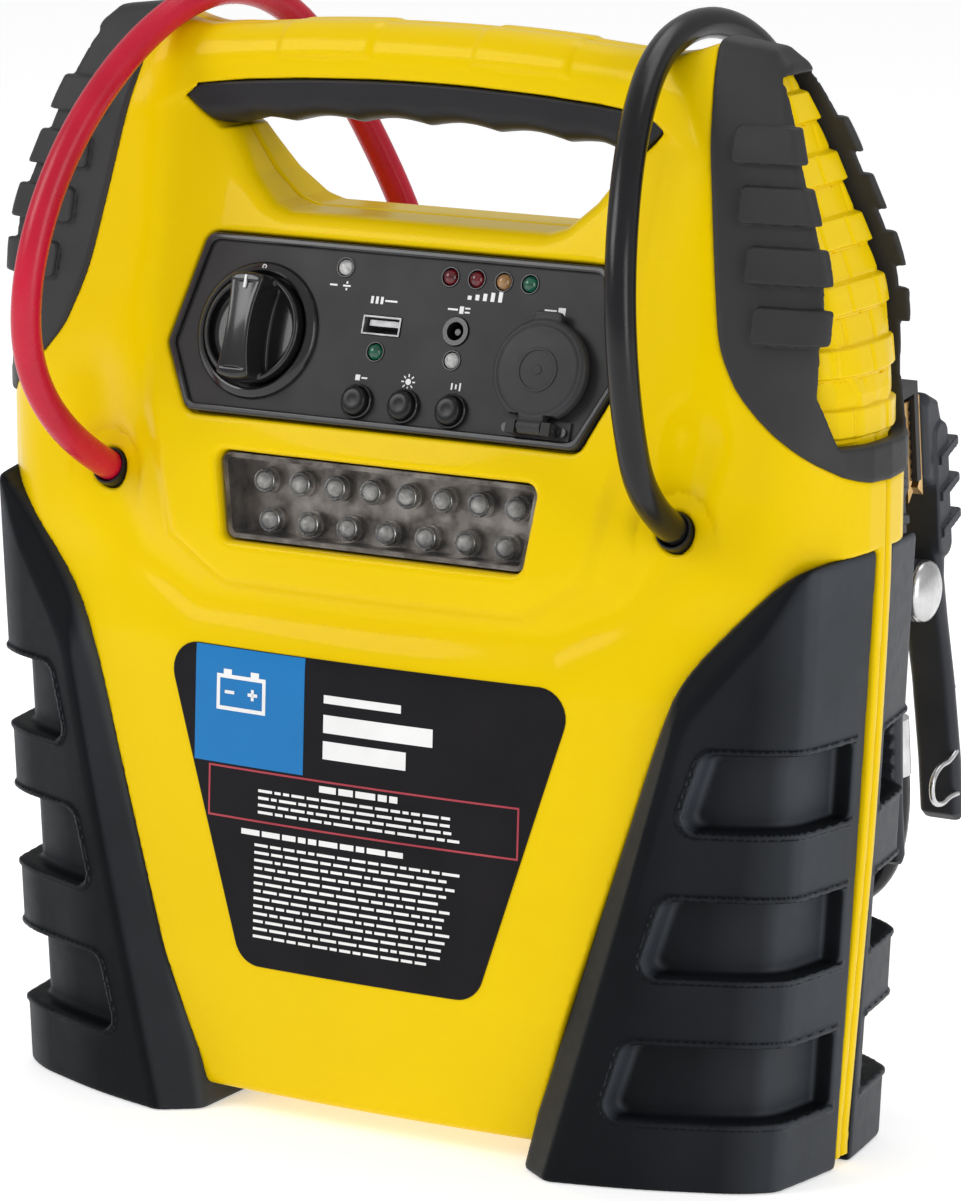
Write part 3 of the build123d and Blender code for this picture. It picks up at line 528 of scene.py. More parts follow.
# ---- panel and lamp planes: y and z of the lower edge, and how far it leans back
panelRise, lampRise = (39.3 - 21.9, 268.0 - 216.1), (3.2, 25.8)
panelPlane = (-39.3, 216.1, math.atan2(*panelRise))
lampPlane = (-43.4, 179.1, math.atan2(*lampRise))
panelOutline = mirroredOutline([(67.7, 0.0), (77.7, 20.0), (69.5, math.hypot(*panelRise))])
lensOutline = mirroredOutline([(51.4, 0.0), (55.5, lampRise[1])])


def placeMatrix(up, out, place):
    # x stays, and the other two directions become up and out; the place is in millimetres
    matrix = Matrix.Identity(4)
    for row in range(3):
        matrix[row][0], matrix[row][1], matrix[row][2] = (1.0, 0.0, 0.0)[row], up[row], out[row]
    matrix.translation = Vector([c * mm for c in place])
    return matrix


def planeMatrix(lowerY, lowerZ, angle):
    s, c = math.sin(angle), math.cos(angle)
    return placeMatrix((0.0, s, c), (0.0, -c, s), (0.0, lowerY, lowerZ))


panelPlace = planeMatrix(*panelPlane)
lampPlace = planeMatrix(*lampPlane)


def onPlane(y, z, lowerY, lowerZ, angle):
    up = (y - lowerY) * math.sin(angle) + (z - lowerZ) * math.cos(angle)
    out = -(y - lowerY) * math.cos(angle) + (z - lowerZ) * math.sin(angle)
    return up, out


# ---- where the guards lie
lowerMask = [(52.0, -20.0), (60.2, 17.5), (63.5, 27.2), (89.3, 108.5), (97.4, 135.1), (105.4, 153.9),
             (119.7, 170.3), (135.8, 186.3), (150.0, 190.5), (190.0, 190.5), (190.0, -20.0)]
upperMask = [(93.0, 360.0), (95.1, 333.5), (100.1, 306.4), (107.6, 259.3), (110.9, 247.1), (118.9, 232.3),
             (144.5, 211.8), (152.0, 208.0), (190.0, 206.0), (190.0, 360.0)]


def eased(points, first, last, rounds=2):
    # cuts the corners of one stretch of an outline, so that it reads as a curve
    for _ in range(rounds):
        curve = []
        for a, b in zip(points[first:last], points[first + 1:last + 1]):
            for share in (0.75, 0.25):
                curve.append(tuple(share * p + (1.0 - share) * q for p, q in zip(a, b)))
        points = points[:first + 1] + curve + points[last:]
        last = first + len(curve) + 1
    return points


lowerMask = eased(lowerMask, 3, 8)
upperMask = eased(upperMask, 2, 7)


def caseSides(x, y, z):
    return np.abs(y) - plainDepth(x, z), outlineDistance(x, z, frontRing), outlineDistance(x, y, planRing)


def coreField(x, y, z):
    # what is left under the corner guards
    front, sides, corners = caseSides(x, y, z)
    return allOf(front + case["guardDepth"], sides + case["guardSide"], corners + case["guardSide"])


def innerField(x, y, z):
    # what is left under the shoulder guards
    return allOf(*caseSides(x, y, z)) + case["shoulderDepth"]


def guardSeats(x, y, z):
    ax, ay = np.abs(x), np.abs(y)
    lower = np.maximum(outlineDistance(ax, z, lowerMask, 3.0) + case["seatGap"], -coreField(x, y, z))
    lower = np.maximum(lower, case["stripHalf"] - ay)
    upper = np.maximum(outlineDistance(ax, z, upperMask, 3.0) + case["seatGap"], -innerField(x, y, z))
    return np.minimum(lower, upper)


# ---- the handle, an arched bar, and the soft grip under it
handle = dict(top=332.8, arch=700.0, halfWidth=14.0, halfHeight=16.5, corner=10.6, endX=93.0, step=0.6,
              stepFrom=18.0, stepTo=50.0)
grip = dict(proud=0.6, end=73.0, endLevel=299.0, endSlope=1.12, fingerPitch=24.0, fingerDepth=1.9, rise=2.6,
            seatGrow=0.7, seatEnd=73.4, seatRise=2.2)


def handleSection(x, y, z, grow=0.0):
    radius = np.sqrt(x * x + (z - handle["top"] + handle["arch"]) ** 2)
    v = radius - handle["arch"] + handle["halfHeight"]
    r = handle["corner"]
    qx = np.abs(y) - handle["halfWidth"] - grow + r
    qz = np.abs(v) - handle["halfHeight"] - grow + r
    ring = np.sqrt(np.maximum(qx, 0) ** 2 + np.maximum(qz, 0) ** 2) + np.minimum(np.maximum(qx, qz), 0) - r
    return ring, v


def handleBar(x, y, z):
    ring, v = handleSection(x, y, z)
    ax = np.abs(x)
    raised = softStep(ax - handle["stepFrom"], 2.5) * softStep(handle["stepTo"] - ax, 2.5)
    raised = raised * softStep(v - 7.0, 2.0)
    groove = np.exp(-((v - 6.0) / 0.8) ** 2) * softStep(ax - handle["stepFrom"], 3.0)
    groove = groove * softStep(handle["stepTo"] - ax, 3.0)
    bar = ring - handle["step"] * raised + 0.2 * groove
    bar = smoothMax(bar, ax - handle["endX"], 6.0)
    return smoothMax(bar, -v, 1.0)


def gripEnds(x, z, end):
    return (np.abs(x) - end - grip["endSlope"] * (z - grip["endLevel"])) * 0.67


def gripSeat(x, y, z):
    ring, v = handleSection(x, y, z, grip["seatGrow"])
    seat = allOf(ring, v, -v - handle["halfHeight"] + grip["seatRise"])
    return np.maximum(seat, gripEnds(x, z, grip["seatEnd"]))


def caseBody(x, y, z):
    ax, ay = np.abs(x), np.abs(y)
    body = envelope(x, y, z, faceDepth)
    body = cutAway(body, outlineDistance(x, z, handHole, 6.0), 8.0)
    up, out = onPlane(-ay, z, *panelPlane)
    walls = (outlineDistance(x, up, recessOutline, 4.0) - case["flare"] * out) / math.hypot(1.0, case["flare"])
    body = cutAway(body, smoothMax(walls, -out, 5.0), 6.0)
    body = smoothMin(body, handleBar(x, y, z), 10.0)
    body = cutAway(body, guardSeats(x, y, z), 1.2)
    foot = allOf(np.abs(ax - case["footX"]) - 8.0, ay - case["stripHalf"], np.abs(z - case["footZ"]) - 3.5)
    return smoothMin(body, foot, 1.0)


def panelRoom(x, y, z):
    # the room behind the panel for the sockets and the switch
    up, out = onPlane(y, z, *panelPlane)
    return np.maximum(outlineDistance(x, up, panelOutline) + 6.0, np.maximum(out, -46.0 - out))


# ---- where a lead leaves the front: a middle point, the direction outwards, a flare and a bore
leadHole = dict(x=98.4, y=-38.0, z=196.1, forward=0.912, rising=0.41, flare=9.4, bore=5.9)


def leadHoles(x, y, z):
    forward, rising = leadHole["forward"], leadHole["rising"]
    ax, dy, dz = np.abs(x) - leadHole["x"], y - leadHole["y"], z - leadHole["z"]
    along = -dy * forward + dz * rising
    across = np.sqrt(ax ** 2 + (dy * rising + dz * forward) ** 2)
    return np.maximum(across - leadHole["flare"], 0.8 - along), np.maximum(across - leadHole["bore"], -along - 16.0)


def frontShellField(x, y, z):
    body = caseBody(x, y, z)
    up, out = onPlane(y, z, *panelPlane)
    pocket = np.maximum(outlineDistance(x, up, panelOutline, 4.0) - 0.5, np.abs(out) - 4.5)
    body = cutAway(body, pocket, 1.6)
    body = cutAway(body, panelRoom(x, y, z), 1.0)
    up, out = onPlane(y, z, *lampPlane)
    window = np.maximum(outlineDistance(x, up, lensOutline, 3.0) - 0.7, np.abs(out + 5.0) - 20.0)
    body = cutAway(body, window, 2.4)
    flare, bore = leadHoles(x, y, z)
    body = cutAway(body, flare, 7.0)
    body = cutAway(body, bore, 1.4)
    body = cutAway(body, gripSeat(x, y, z), 0.8)
    return smoothMax(body, y + 0.1, 1.8)


def rearShellField(x, y, z):
    body = cutAway(caseBody(x, y, z), panelRoom(x, y, z), 1.0)
    body = cutAway(body, gripSeat(x, y, z), 0.8)
    for screwX, screwZ in screwSpots:
        well = np.sqrt((np.abs(x) - screwX) ** 2 + (z - screwZ) ** 2) - 4.2
        body = cutAway(body, np.maximum(well, 12.0 - y), 1.2)
    return smoothMax(body, 0.1 - y, 1.8)


for end, field, near, far in (("front", frontShellField, -60.0, 0.0), ("rear", rearShellField, 0.0, 60.0)):
    shell = fieldPiece(end + "Shell", field, (-153.0, near, 0.0), (153.0, far, 337.0), (3.0, 1.25), "yellowShell")
    finishPiece(shell, "yellow_shell", end + "_shell")
print("shells made")

# ---- rubber corner guards: flats meeting at a ridge, with three wrap-round pockets
guard = dict(edge=136.0, ridge=58.5, pocketDepth=5.5, pocketHeight=22.5, pocketPitch=44.0, firstPocket=22.0,
             rounding=2.0)


def guardPlanes():
    e, r = guard["edge"], guard["ridge"]
    return [
        ((60.2, -48.7, 17.5), (97.4, -44.6, 135.1), (90.0, -r + 2.3, 70.5)),
        ((105.4, -43.9, 153.9), (135.8, -34.5, 186.3), (118.0, -46.4, 153.0)),
        ((e - 63.5, -r, 0), (e - 40.5, -r + 5.7, 0), (e - 34.9, -r + 6.1, 114.9)),
        ((e - 40.5, -r + 5.7, 0), (e - 13.0, -r + 17.0, 0), (e - 10.0, -r + 17.0, 120.0)),
        ((e - 12.0, -r + 17.2, 0), (e - 2.5, -33.3, 0), (e + 2.5, -33.3, 110.0)),
        ((e - 2.5, -33.3, 0), (e, -20.7, 0), (e + 5.5, -20.7, 110.0)),
        ((e, -20.7, 0), (e + 1.8, -4.0, 0), (e + 13.2, -4.0, 181.0)),
    ]


def flatsOfGuard():
    flats = []
    inside = np.array((100.0, -30.0, 60.0))
    for corners in guardPlanes():
        a, b, c = (np.array(p, dtype=float) for p in corners)
        normal = np.cross(b - a, c - a)
        normal /= np.sqrt((normal ** 2).sum())
        if normal.dot(inside - a) > 0:
            normal = -normal
        flats.append((normal, normal.dot(a)))
    return flats


guardFlats = flatsOfGuard()


def guardSurface(x, y, z, rounding):
    surface = None
    for normal, reach in guardFlats:
        flat = normal[0] * x + normal[1] * y + normal[2] * z - reach
        surface = flat if surface is None else smoothMax(surface, flat, rounding)
    return surface


def cornerGuardField(x, y, z):
    surface = guardSurface(x, y, z, guard["rounding"])
    block = smoothMax(surface, outlineDistance(x, z, lowerMask, 3.0), 2.6)
    block = smoothMax(block, -z, 2.0)
    block = smoothMax(block, y + 4.3, 1.6)
    floor = guardSurface(x, y, z, 5.0) + guard["pocketDepth"]
    for index in range(3):
        bottom = guard["firstPocket"] + index * guard["pocketPitch"]
        top = bottom + guard["pocketHeight"]
        left = [guard["edge"] - 62.6 + 0.245 * level + 9.0 for level in (bottom, top)]
        outline = [(left[0] - 1.5, bottom), (190.0, bottom), (190.0, top), (left[1], top)]
        ring = outlineDistance(x, z, outline, 4.0)
        pocket = smoothMax(smoothMax(ring, -floor, 2.0), y + 10.0, 2.0)
        bead = np.abs(ring - 1.1) - 0.9
        block = smoothMin(block, allOf(bead, surface - 0.7, y + 9.0), 1.0)
        block = cutAway(block, pocket, 1.4)
    return np.maximum(block, -coreField(x, y, z))


rightGuard = fieldPiece("frontRightCornerGuard", cornerGuardField, (45.0, -62.0, 0.0), (153.0, -3.0, 192.0),
                        (2.5, 0.95), "guardRubber", 100000)
finishPiece(rightGuard, "guard_rubber", "front_right_corner_guard")
for end, side in (("front", "left"), ("rear", "right"), ("rear", "left")):
    copy = mirroredCopy(rightGuard, end + side.capitalize() + "CornerGuard", side == "left", end == "rear")
    finishPiece(copy, "guard_rubber", end + "_" + side + "_corner_guard")
print("corner guards made")

# ---- shoulder guards with grip ribs, round an opening with a brick-pattern panel
shoulder = dict(proud=1.2, rib=2.0, ribHeight=10.4, ribPitch=16.7, ribLength=18.5, firstRib=306.5)
opening = [(-21.0, 221.0), (-26.0, 236.0), (-25.2, 250.0), (-22.3, 268.0), (-15.6, 302.0), (-8.5, 325.0)]
openingOutline = opening + [(-y, z) for y, z in reversed(opening)]


def shoulderGuardField(x, y, z):
    outside = envelope(x, y, z)
    body = smoothMax(outside - shoulder["proud"], outlineDistance(x, z, upperMask, 3.0), 2.6)
    for index in range(4):
        level = shoulder["firstRib"] - index * shoulder["ribPitch"]
        outer = 127.0 + index * 4.0
        half = shoulder["ribHeight"] / 2
        band = box(outer - shoulder["ribLength"], level - half, outer + 14, level + half)
        rib = smoothMax(outlineDistance(x, z, band, 1.8), outside - shoulder["proud"] - shoulder["rib"], 0.8)
        body = smoothMin(body, np.maximum(rib, -outside - 2.0), 0.5)
    body = np.maximum(body, -innerField(x, y, z))
    window = np.maximum(outlineDistance(y, z, openingOutline, 2.0), 96.0 - x)
    return cutAway(body, window, 1.6)


rightShoulder = fieldPiece("rightShoulderGuard", shoulderGuardField, (90.0, -48.0, 204.0), (158.0, 48.0, 338.0),
                           (2.5, 0.9), "shoulderRubber", 140000)
finishBothSides(rightShoulder, "guard_rubber", "shoulder_guard")

bricks = dict(firstRow=222.0, pitch=17.6, band=8.5, joint=0.7, sunk=3.9, rise=1.3)


def brickPanelField(x, y, z):
    outside = envelope(x, y, z)
    row = (z - bricks["firstRow"]) / bricks["pitch"]
    within = (row - np.floor(row)) * bricks["pitch"]
    raised = softStep(within - 1.0, 1.2) * softStep(1.0 + bricks["band"] - within, 1.2)
    column = (y + 40.0 + 5.5 * np.floor(row) + 6.0 * (raised > 0.5)) / 17.0
    toJoint = np.abs(column - np.round(column)) * 17.0
    toBand = np.minimum(np.abs(within - 1.0), np.abs(within - 1.0 - bricks["band"]))
    groove = 0.55 * np.exp(-(toJoint / bricks["joint"]) ** 2)
    groove = groove + 0.35 * np.exp(-(toBand / 0.8) ** 2) * (1 - raised)
    face = outside + bricks["sunk"] - bricks["rise"] * raised + groove
    body = smoothMax(face, outlineDistance(y, z, openingOutline, 2.0) - 0.1, 1.2)
    return np.maximum(body, -(outside + 6.5))


rightPanel = fieldPiece("rightSidePanel", brickPanelField, (100.0, -24.0, 218.0), (152.0, 24.0, 326.0),
                        (1.5, 0.55), "yellowShell", 90000)
finishBothSides(rightPanel, "yellow_shell", "side_panel")
print("shoulder guards and side panels made")


def gripField(x, y, z):
    ring, v = handleSection(x, y, z, grip["proud"])
    fade = softStep(64.0 - np.abs(x), 10.0)
    wave = grip["rise"] + grip["fingerDepth"] * np.abs(np.sin(math.pi * x / grip["fingerPitch"])) * fade
    body = smoothMax(ring, -v - handle["halfHeight"] + wave, 7.0)
    body = smoothMax(body, v + 0.15, 1.0)
    return smoothMax(body, gripEnds(x, z, grip["end"]), 1.6)


gripPiece = fieldPiece("handleGrip", gripField, (-90.0, -16.0, 294.0), (90.0, 16.0, 318.0), (1.5, 0.8), "gripRubber")
finishPiece(gripPiece, "grip_rubber", "handle_grip")
print("grip made")


# ---- plates, turned pieces and small parts
def roundedOutline(points, radius, steps=6):
    result = []
    count = len(points)
    for index in range(count):
        here = Vector(points[index])
        before = (Vector(points[index - 1]) - here).normalized()
        after = (Vector(points[(index + 1) % count]) - here).normalized()
        angle = before.angle(after)
        reach = radius / math.tan(angle / 2)
        centre = here + (before + after).normalized() * (radius / math.sin(angle / 2))
        start, end = here + before * reach - centre, here + after * reach - centre
        sweep = start.angle_signed(end)
        for step in range(steps + 1):
            turn = Matrix.Rotation(-sweep * step / steps, 2)
            result.append(tuple(centre + turn @ start))
    return result


def circleOutline(x, y, radius, steps=48):
    turns = [2 * math.pi * i / steps for i in range(steps)]
    return [(x + radius * math.cos(t), y + radius * math.sin(t)) for t in turns]


def makePlate(name, outlines, bottom, top, bevel, material, matrix):
    # a flat plate with holes: the first outline is its edge, and all edges are rounded
    curve = bpy.data.curves.new(name, "CURVE")
    curve.dimensions = "2D"
    curve.fill_mode = "BOTH"
    for outline in outlines:
        spline = curve.splines.new("POLY")
        spline.points.add(len(outline) - 1)
        for point, (u, v) in zip(spline.points, outline):
            point.co = (u * mm, v * mm, 0.0, 1.0)
        spline.use_cyclic_u = True
    curve.extrude = (top - bottom) / 2 * mm - bevel * mm
    curve.bevel_depth = bevel * mm
    curve.bevel_resolution = 3
    curve.offset = -bevel * mm
    piece = newObject(name, curve)
    graph = bpy.context.evaluated_depsgraph_get()
    mesh = bpy.data.meshes.new_from_object(piece.evaluated_get(graph))
    bpy.data.objects.remove(piece)
    mesh.transform(matrix @ Matrix.Translation((0.0, 0.0, (top + bottom) / 2 * mm)))
    return pieceFromMesh(name, mesh, material)


def pieceFromMesh(name, mesh, material, angle=32.0):
    mesh.materials.clear()
    mesh.materials.append(materials[material])
    smoothShade(mesh)
    mesh.set_sharp_from_angle(angle=math.radians(angle))
    return newObject(name, mesh)


def turnedMesh(name, outline, steps):
    # outline runs from the axis out and back to the axis, as radius and height, bottom first
    points, faces, rings = [], [], []
    for radius, height in outline:
        if radius < 1e-6:
            rings.append([len(points)])
            points.append((0.0, 0.0, height * mm))
            continue
        rings.append(list(range(len(points), len(points) + steps)))
        for i in range(steps):
            t = 2 * math.pi * i / steps
            points.append((radius * mm * math.cos(t), radius * mm * math.sin(t), height * mm))
    for lower, upper in zip(rings, rings[1:]):
        for i in range(steps):
            j = (i + 1) % steps
            if len(lower) == 1:
                faces.append((lower[0], upper[j], upper[i]))
            elif len(upper) == 1:
                faces.append((lower[i], lower[j], upper[0]))
            else:
                faces.append((lower[i], lower[j], upper[j], upper[i]))
    if len(rings[0]) > 1:
        for i in range(steps):
            j = (i + 1) % steps
            faces.append((rings[-1][i], rings[-1][j], rings[0][j], rings[0][i]))
    return newMesh(name, points, faces)


def turnedPiece(name, outline, steps, material, matrix, angle=32.0):
    mesh = turnedMesh(name, outline, steps)
    mesh.transform(matrix)
    return pieceFromMesh(name, mesh, material, angle)


def domeOutline(radius, bottom, shoulder):
    turns = [math.pi / 2 * i / 8 for i in range(1, 8)]
    arc = [(radius * math.cos(t), shoulder + radius * math.sin(t)) for t in turns]
    return [(0, bottom), (radius, bottom), (radius, shoulder)] + arc + [(0, shoulder + radius)]


def scatterTree(name, shape, material):
    # Geometry Nodes: one copy of a shape on every point, made real and given its material
    tree = bpy.data.node_groups.new(name, "GeometryNodeTree")
    tree.interface.new_socket("Points", in_out="INPUT", socket_type="NodeSocketGeometry")
    turnSocket = tree.interface.new_socket("Turn", in_out="INPUT", socket_type="NodeSocketVector")
    sizeSocket = tree.interface.new_socket("Size", in_out="INPUT", socket_type="NodeSocketFloat")
    tree.interface.new_socket("Geometry", in_out="OUTPUT", socket_type="NodeSocketGeometry")
    nodes = tree.nodes
    enter, leave = nodes.new("NodeGroupInput"), nodes.new("NodeGroupOutput")
    info = nodes.new("GeometryNodeObjectInfo")
    info.inputs["Object"].default_value = shape
    info.inputs["As Instance"].default_value = True
    place = nodes.new("GeometryNodeInstanceOnPoints")
    real = nodes.new("GeometryNodeRealizeInstances")
    paint = nodes.new("GeometryNodeSetMaterial")
    paint.inputs["Material"].default_value = materials[material]
    tree.links.new(enter.outputs["Points"], place.inputs["Points"])
    tree.links.new(info.outputs["Geometry"], place.inputs["Instance"])
    tree.links.new(enter.outputs["Turn"], place.inputs["Rotation"])
    tree.links.new(enter.outputs["Size"], place.inputs["Scale"])
    tree.links.new(place.outputs["Instances"], real.inputs["Geometry"])
    tree.links.new(real.outputs["Geometry"], paint.inputs["Geometry"])
    tree.links.new(paint.outputs["Geometry"], leave.inputs["Geometry"])
    return tree, turnSocket.identifier, sizeSocket.identifier


def scatter(name, mesh, spots, height, material, matrix):
    # copies of a turned mesh on points of a plane
    smoothShade(mesh)
    mesh.set_sharp_from_angle(angle=math.radians(40.0))
    shape = newObject(name + "Shape", mesh)
    piece = newObject(name, newMesh(name, [matrix @ Vector((u * mm, v * mm, height * mm)) for u, v in spots], []))
    tree, turnKey, sizeKey = scatterTree(name + "Tree", shape, material)
    modifier = piece.modifiers.new("scatter", "NODES")
    modifier.node_group = tree
    modifier[turnKey] = tuple(matrix.to_euler())
    modifier[sizeKey] = 1.0
    flatten(piece)
    bpy.data.objects.remove(shape)
    return piece


# ---- control panel
panel = dict(thickness=4.0, rim=2.4, rimHeight=1.3, switch=(-47.0, 26.0), buttonRow=7.8, usb=(-4.3, 31.0),
             jack=(21.3, 31.5), outlet=(53.5, 22.0))
buttons = dict(usb=-8.2, lamp=7.9, test=24.3)
lamps = {
    "red_volt_leds": ([(16.5, 47.5), (25.5, 47.5)], "ledRed", "led_red"),
    "amber_volt_led": ([(34.7, 47.5)], "ledAmber", "led_amber"),
    "green_leds": ([(43.6, 47.5), (-5.0, 23.1)], "ledGreen", "led_green"),
    "clear_leds": ([(-19.9, 47.5), (21.5, 22.8)], "ledClear", "led_clear"),
}
panelSpots = [spot for spots, _, _ in lamps.values() for spot in spots]


def onPanel(x, y):
    return panelPlace @ Matrix.Translation((x * mm, y * mm, 0.0))


plateOutline = roundedOutline(insetOutline(panelOutline, 0.15), 4.0)
rimInner = roundedOutline(insetOutline(panelOutline, panel["rim"]), 3.0)
usbX, usbY = panel["usb"]
usbHole = roundedOutline(box(usbX - 6.6, usbY - 2.9, usbX + 6.6, usbY + 2.9), 0.5)
plateHoles = [circleOutline(*panel["switch"], 18.5), usbHole, circleOutline(*panel["jack"], 4.3),
              circleOutline(*panel["outlet"], 12.6)]
plateHoles += [circleOutline(x, panel["buttonRow"], 4.7, 32) for x in buttons.values()]
plateHoles += [circleOutline(*spot, 2.75, 24) for spot in panelSpots]
plate = makePlate("controlPanel", [plateOutline] + plateHoles, -panel["thickness"], 0.0, 0.3, "panelPlastic",
                  panelPlace)
finishPiece(plate, "panel_black", "control_panel")
rim = makePlate("panelRim", [plateOutline, rimInner], -0.5, panel["rimHeight"], 0.7, "knobPlastic", panelPlace)
finishPiece(rim, "panel_black")

knobPlace = onPanel(*panel["switch"])
bezelShape = [(17.7, -3.4), (17.9, -3.5), (18.3, -3.5), (18.4, 0.0), (20.9, 0.0), (21.0, 0.4), (20.6, 1.3),
              (19.9, 1.9), (18.6, 2.4), (18.1, 2.3), (17.7, 1.8)]
finishPiece(turnedPiece("switchBezel", bezelShape, 96, "knobPlastic", knobPlace), "knob_black", "switch_bezel")


def knobField(u, v, h):
    radius = np.sqrt(u * u + v * v)
    disc = smoothMax(radius - 16.5, np.abs(h - 1.2) - 3.6, 1.4)
    dish = smoothMax(radius - 14.6, 1.4 - h, 2.0)
    disc = cutAway(disc, dish, 1.2)
    waist = 4.0 + 1.9 * (v / 16.0) ** 2
    top = 12.6 - 1.6 * (v / 16.0) ** 2
    bar = smoothMax(smoothMax(np.abs(u) - waist - 0.12 * (13.0 - h) * 0.5, radius - 16.2, 1.4), h - top, 1.4)
    bar = np.maximum(bar, -h - 2.0)
    hollow = np.sqrt(u * u + (h - top - 12.5) ** 2) - 13.2
    bar = cutAway(bar, np.maximum(hollow, np.abs(v) - 13.0), 1.0)
    knob = smoothMin(disc, bar, 1.0)
    shaft = np.maximum(radius - 4.0, np.abs(h + 9.0) - 8.0)
    return np.minimum(knob, shaft)


knob = fieldPiece("switchKnob", knobField, (-17, -17, -17), (17, 17, 13), (1.2, 0.42), "knobPlastic", 60000,
                  knobPlace)
finishPiece(knob, "knob_black", "switch_knob", body="switch")
marker = makePlate("knobMarker", [roundedOutline(box(-0.35, 11.0, 0.35, 15.0), 0.3, 3)], 10.9, 11.75, 0.08,
                   "labelWhite", knobPlace)
finishPiece(marker, "label_film", body="switch")

buttonShape = [(0, -7.0), (3.6, -7.0), (3.6, -5.0), (4.2, -5.0), (4.2, 2.4), (4.05, 3.0), (3.6, 3.5), (2.9, 3.75),
               (1.5, 3.6), (0, 3.5)]
for name, x in buttons.items():
    button = turnedPiece(name + "buttonCap", buttonShape, 40, "buttonRubber", onPanel(x, panel["buttonRow"]))
    finishPiece(button, "button_black", name + "_button", body=name + "_key")
collarShape = [(4.35, -4.0), (4.5, -4.0), (4.5, 0.0), (5.3, 0.0), (5.35, 0.7), (5.15, 1.3), (4.85, 1.55),
               (4.5, 1.4), (4.35, 1.0)]
collars = scatter("buttonCollars", turnedMesh("collar", collarShape, 40),
                  [(x, panel["buttonRow"]) for x in buttons.values()], 0.0, "knobPlastic", panelPlace)
finishPiece(collars, "button_black", "button_collars")

for node, (spots, material, slot) in lamps.items():
    dome = turnedMesh(node, domeOutline(2.45, -6.0, -0.6), 32)
    finishPiece(scatter(node.replace("_", "") + "Domes", dome, spots, 0.0, material, panelPlace), slot, node)
ringShape = [(2.6, -1.0), (3.0, -1.0), (3.15, 0.1), (3.0, 0.35), (2.75, 0.35), (2.6, 0.1)]
rings = scatter("ledRings", turnedMesh("ledRing", ringShape, 32), panelSpots, 0.0, "knobPlastic", panelPlace)
finishPiece(rings, "panel_black")
print("panel made")

# ---- 12 V outlet cap
cap = dict(diameter=31.0, low=1.4, thickness=3.4, hingeDrop=-16.6, hingeHeight=3.4)


def capField(u, v, h):
    radius = np.sqrt(u * u + v * v)
    top = cap["low"] + cap["thickness"] + 0.5 - 0.5 * (radius / 15.5) ** 2
    disc = smoothMax(smoothMax(radius - cap["diameter"] / 2, h - top, 1.8), cap["low"] - h, 0.6)
    groove = np.exp(-((radius - 13.4) / 0.35) ** 2) * 0.3
    disc = disc + groove * (h > cap["low"] + 1.0)
    plug = smoothMax(radius - 9.4, np.abs(h) - 1.6, 0.6)
    tab = smoothMax(smoothMax(np.abs(u) - 4.5, np.abs(v - 15.0) - 2.6, 1.4), np.abs(h - 3.0) - 1.2, 0.7)
    body = smoothMin(np.minimum(disc, plug), tab, 0.6)
    dv, dh = v - cap["hingeDrop"], h - cap["hingeHeight"]
    reliefs = np.maximum(np.sqrt(dv * dv + dh * dh) - 3.7, np.abs(np.abs(u) - 5.9) - 1.8)
    body = np.maximum(body, -reliefs)
    arm = np.maximum(np.maximum(np.abs(u) - 4.0, np.abs(dv - 4.0) - 4.0), np.abs(dh) - 1.2)
    knuckle = np.maximum(np.sqrt(dv * dv + dh * dh) - 2.2, np.abs(u) - 4.0)
    body = smoothMin(body, np.minimum(arm, knuckle), 0.4)
    return np.maximum(body, 1.1 - np.sqrt(dv * dv + dh * dh))


capPlace = onPanel(*panel["outlet"])
capPiece = fieldPiece("outletCap", capField, (-17, -20, -3), (17, 19, 7), (1.0, 0.36), "capRubber", 70000, capPlace)
finishPiece(capPiece, "cap_rubber", "outlet_cap", body="cap")
for name, rounds in (("capEmblem", [circleOutline(0, 0, 6.6), circleOutline(0, 0, 5.8)]),
                     ("capEmblemDot", [circleOutline(0, 0, 1.5, 24)])):
    finishPiece(makePlate(name, rounds, 4.9, 5.55, 0.15, "capRubber", capPlace), "cap_rubber", body="cap")


# ---- small signs on the panel, white and wordless
def bar(cx, cy, width, height, turn=0.0):
    c, s = math.cos(turn), math.sin(turn)
    corners = box(-width / 2, -height / 2, width / 2, height / 2)
    return [(cx + x * c - y * s, cy + x * s + y * c) for x, y in corners]


def signOutlines():
    sun = (7.9, 15.2)
    rays = [math.pi / 4 * i for i in range(8)]
    bars = [(-23.2, 42.0, 2.6, 0.55), (-18.6, 42.0, 2.6, 0.55), (-18.6, 43.0, 0.55, 0.7), (-18.6, 41.0, 0.55, 0.7)]
    bars += [(-9.0 + 1.7 * i, 38.6, 0.9, 2.2) for i in range(3)] + [(-2.4, 38.6, 4.2, 0.55)]
    bars += [(24.0 + 2.6 * i, 41.9 + 0.25 * i, 1.3, 1.2 + 0.5 * i) for i in range(5)]
    bars += [(19.0, 38.0, 3.4, 0.55), (22.0, 38.0, 1.4, 2.2), (24.0, 37.4, 1.7, 0.5), (24.0, 38.6, 1.7, 0.5)]
    bars += [(51.8, 40.3, 4.0, 0.55), (55.6, 40.3, 2.4, 2.2), (-9.6, 15.0, 1.6, 1.7), (-7.3, 15.0, 2.0, 0.5)]
    bars += [(sun[0] + 1.9 * math.cos(t), sun[1] + 1.9 * math.sin(t), 0.9, 0.4, t) for t in rays]
    lastBars = [(22.9, 15.2, 0.5, 2.0), (24.3, 15.2, 0.5, 1.4), (25.7, 15.2, 0.5, 2.4)]
    return [bar(*b) for b in bars] + [circleOutline(*sun, 0.95, 16)] + [bar(*b) for b in lastBars]


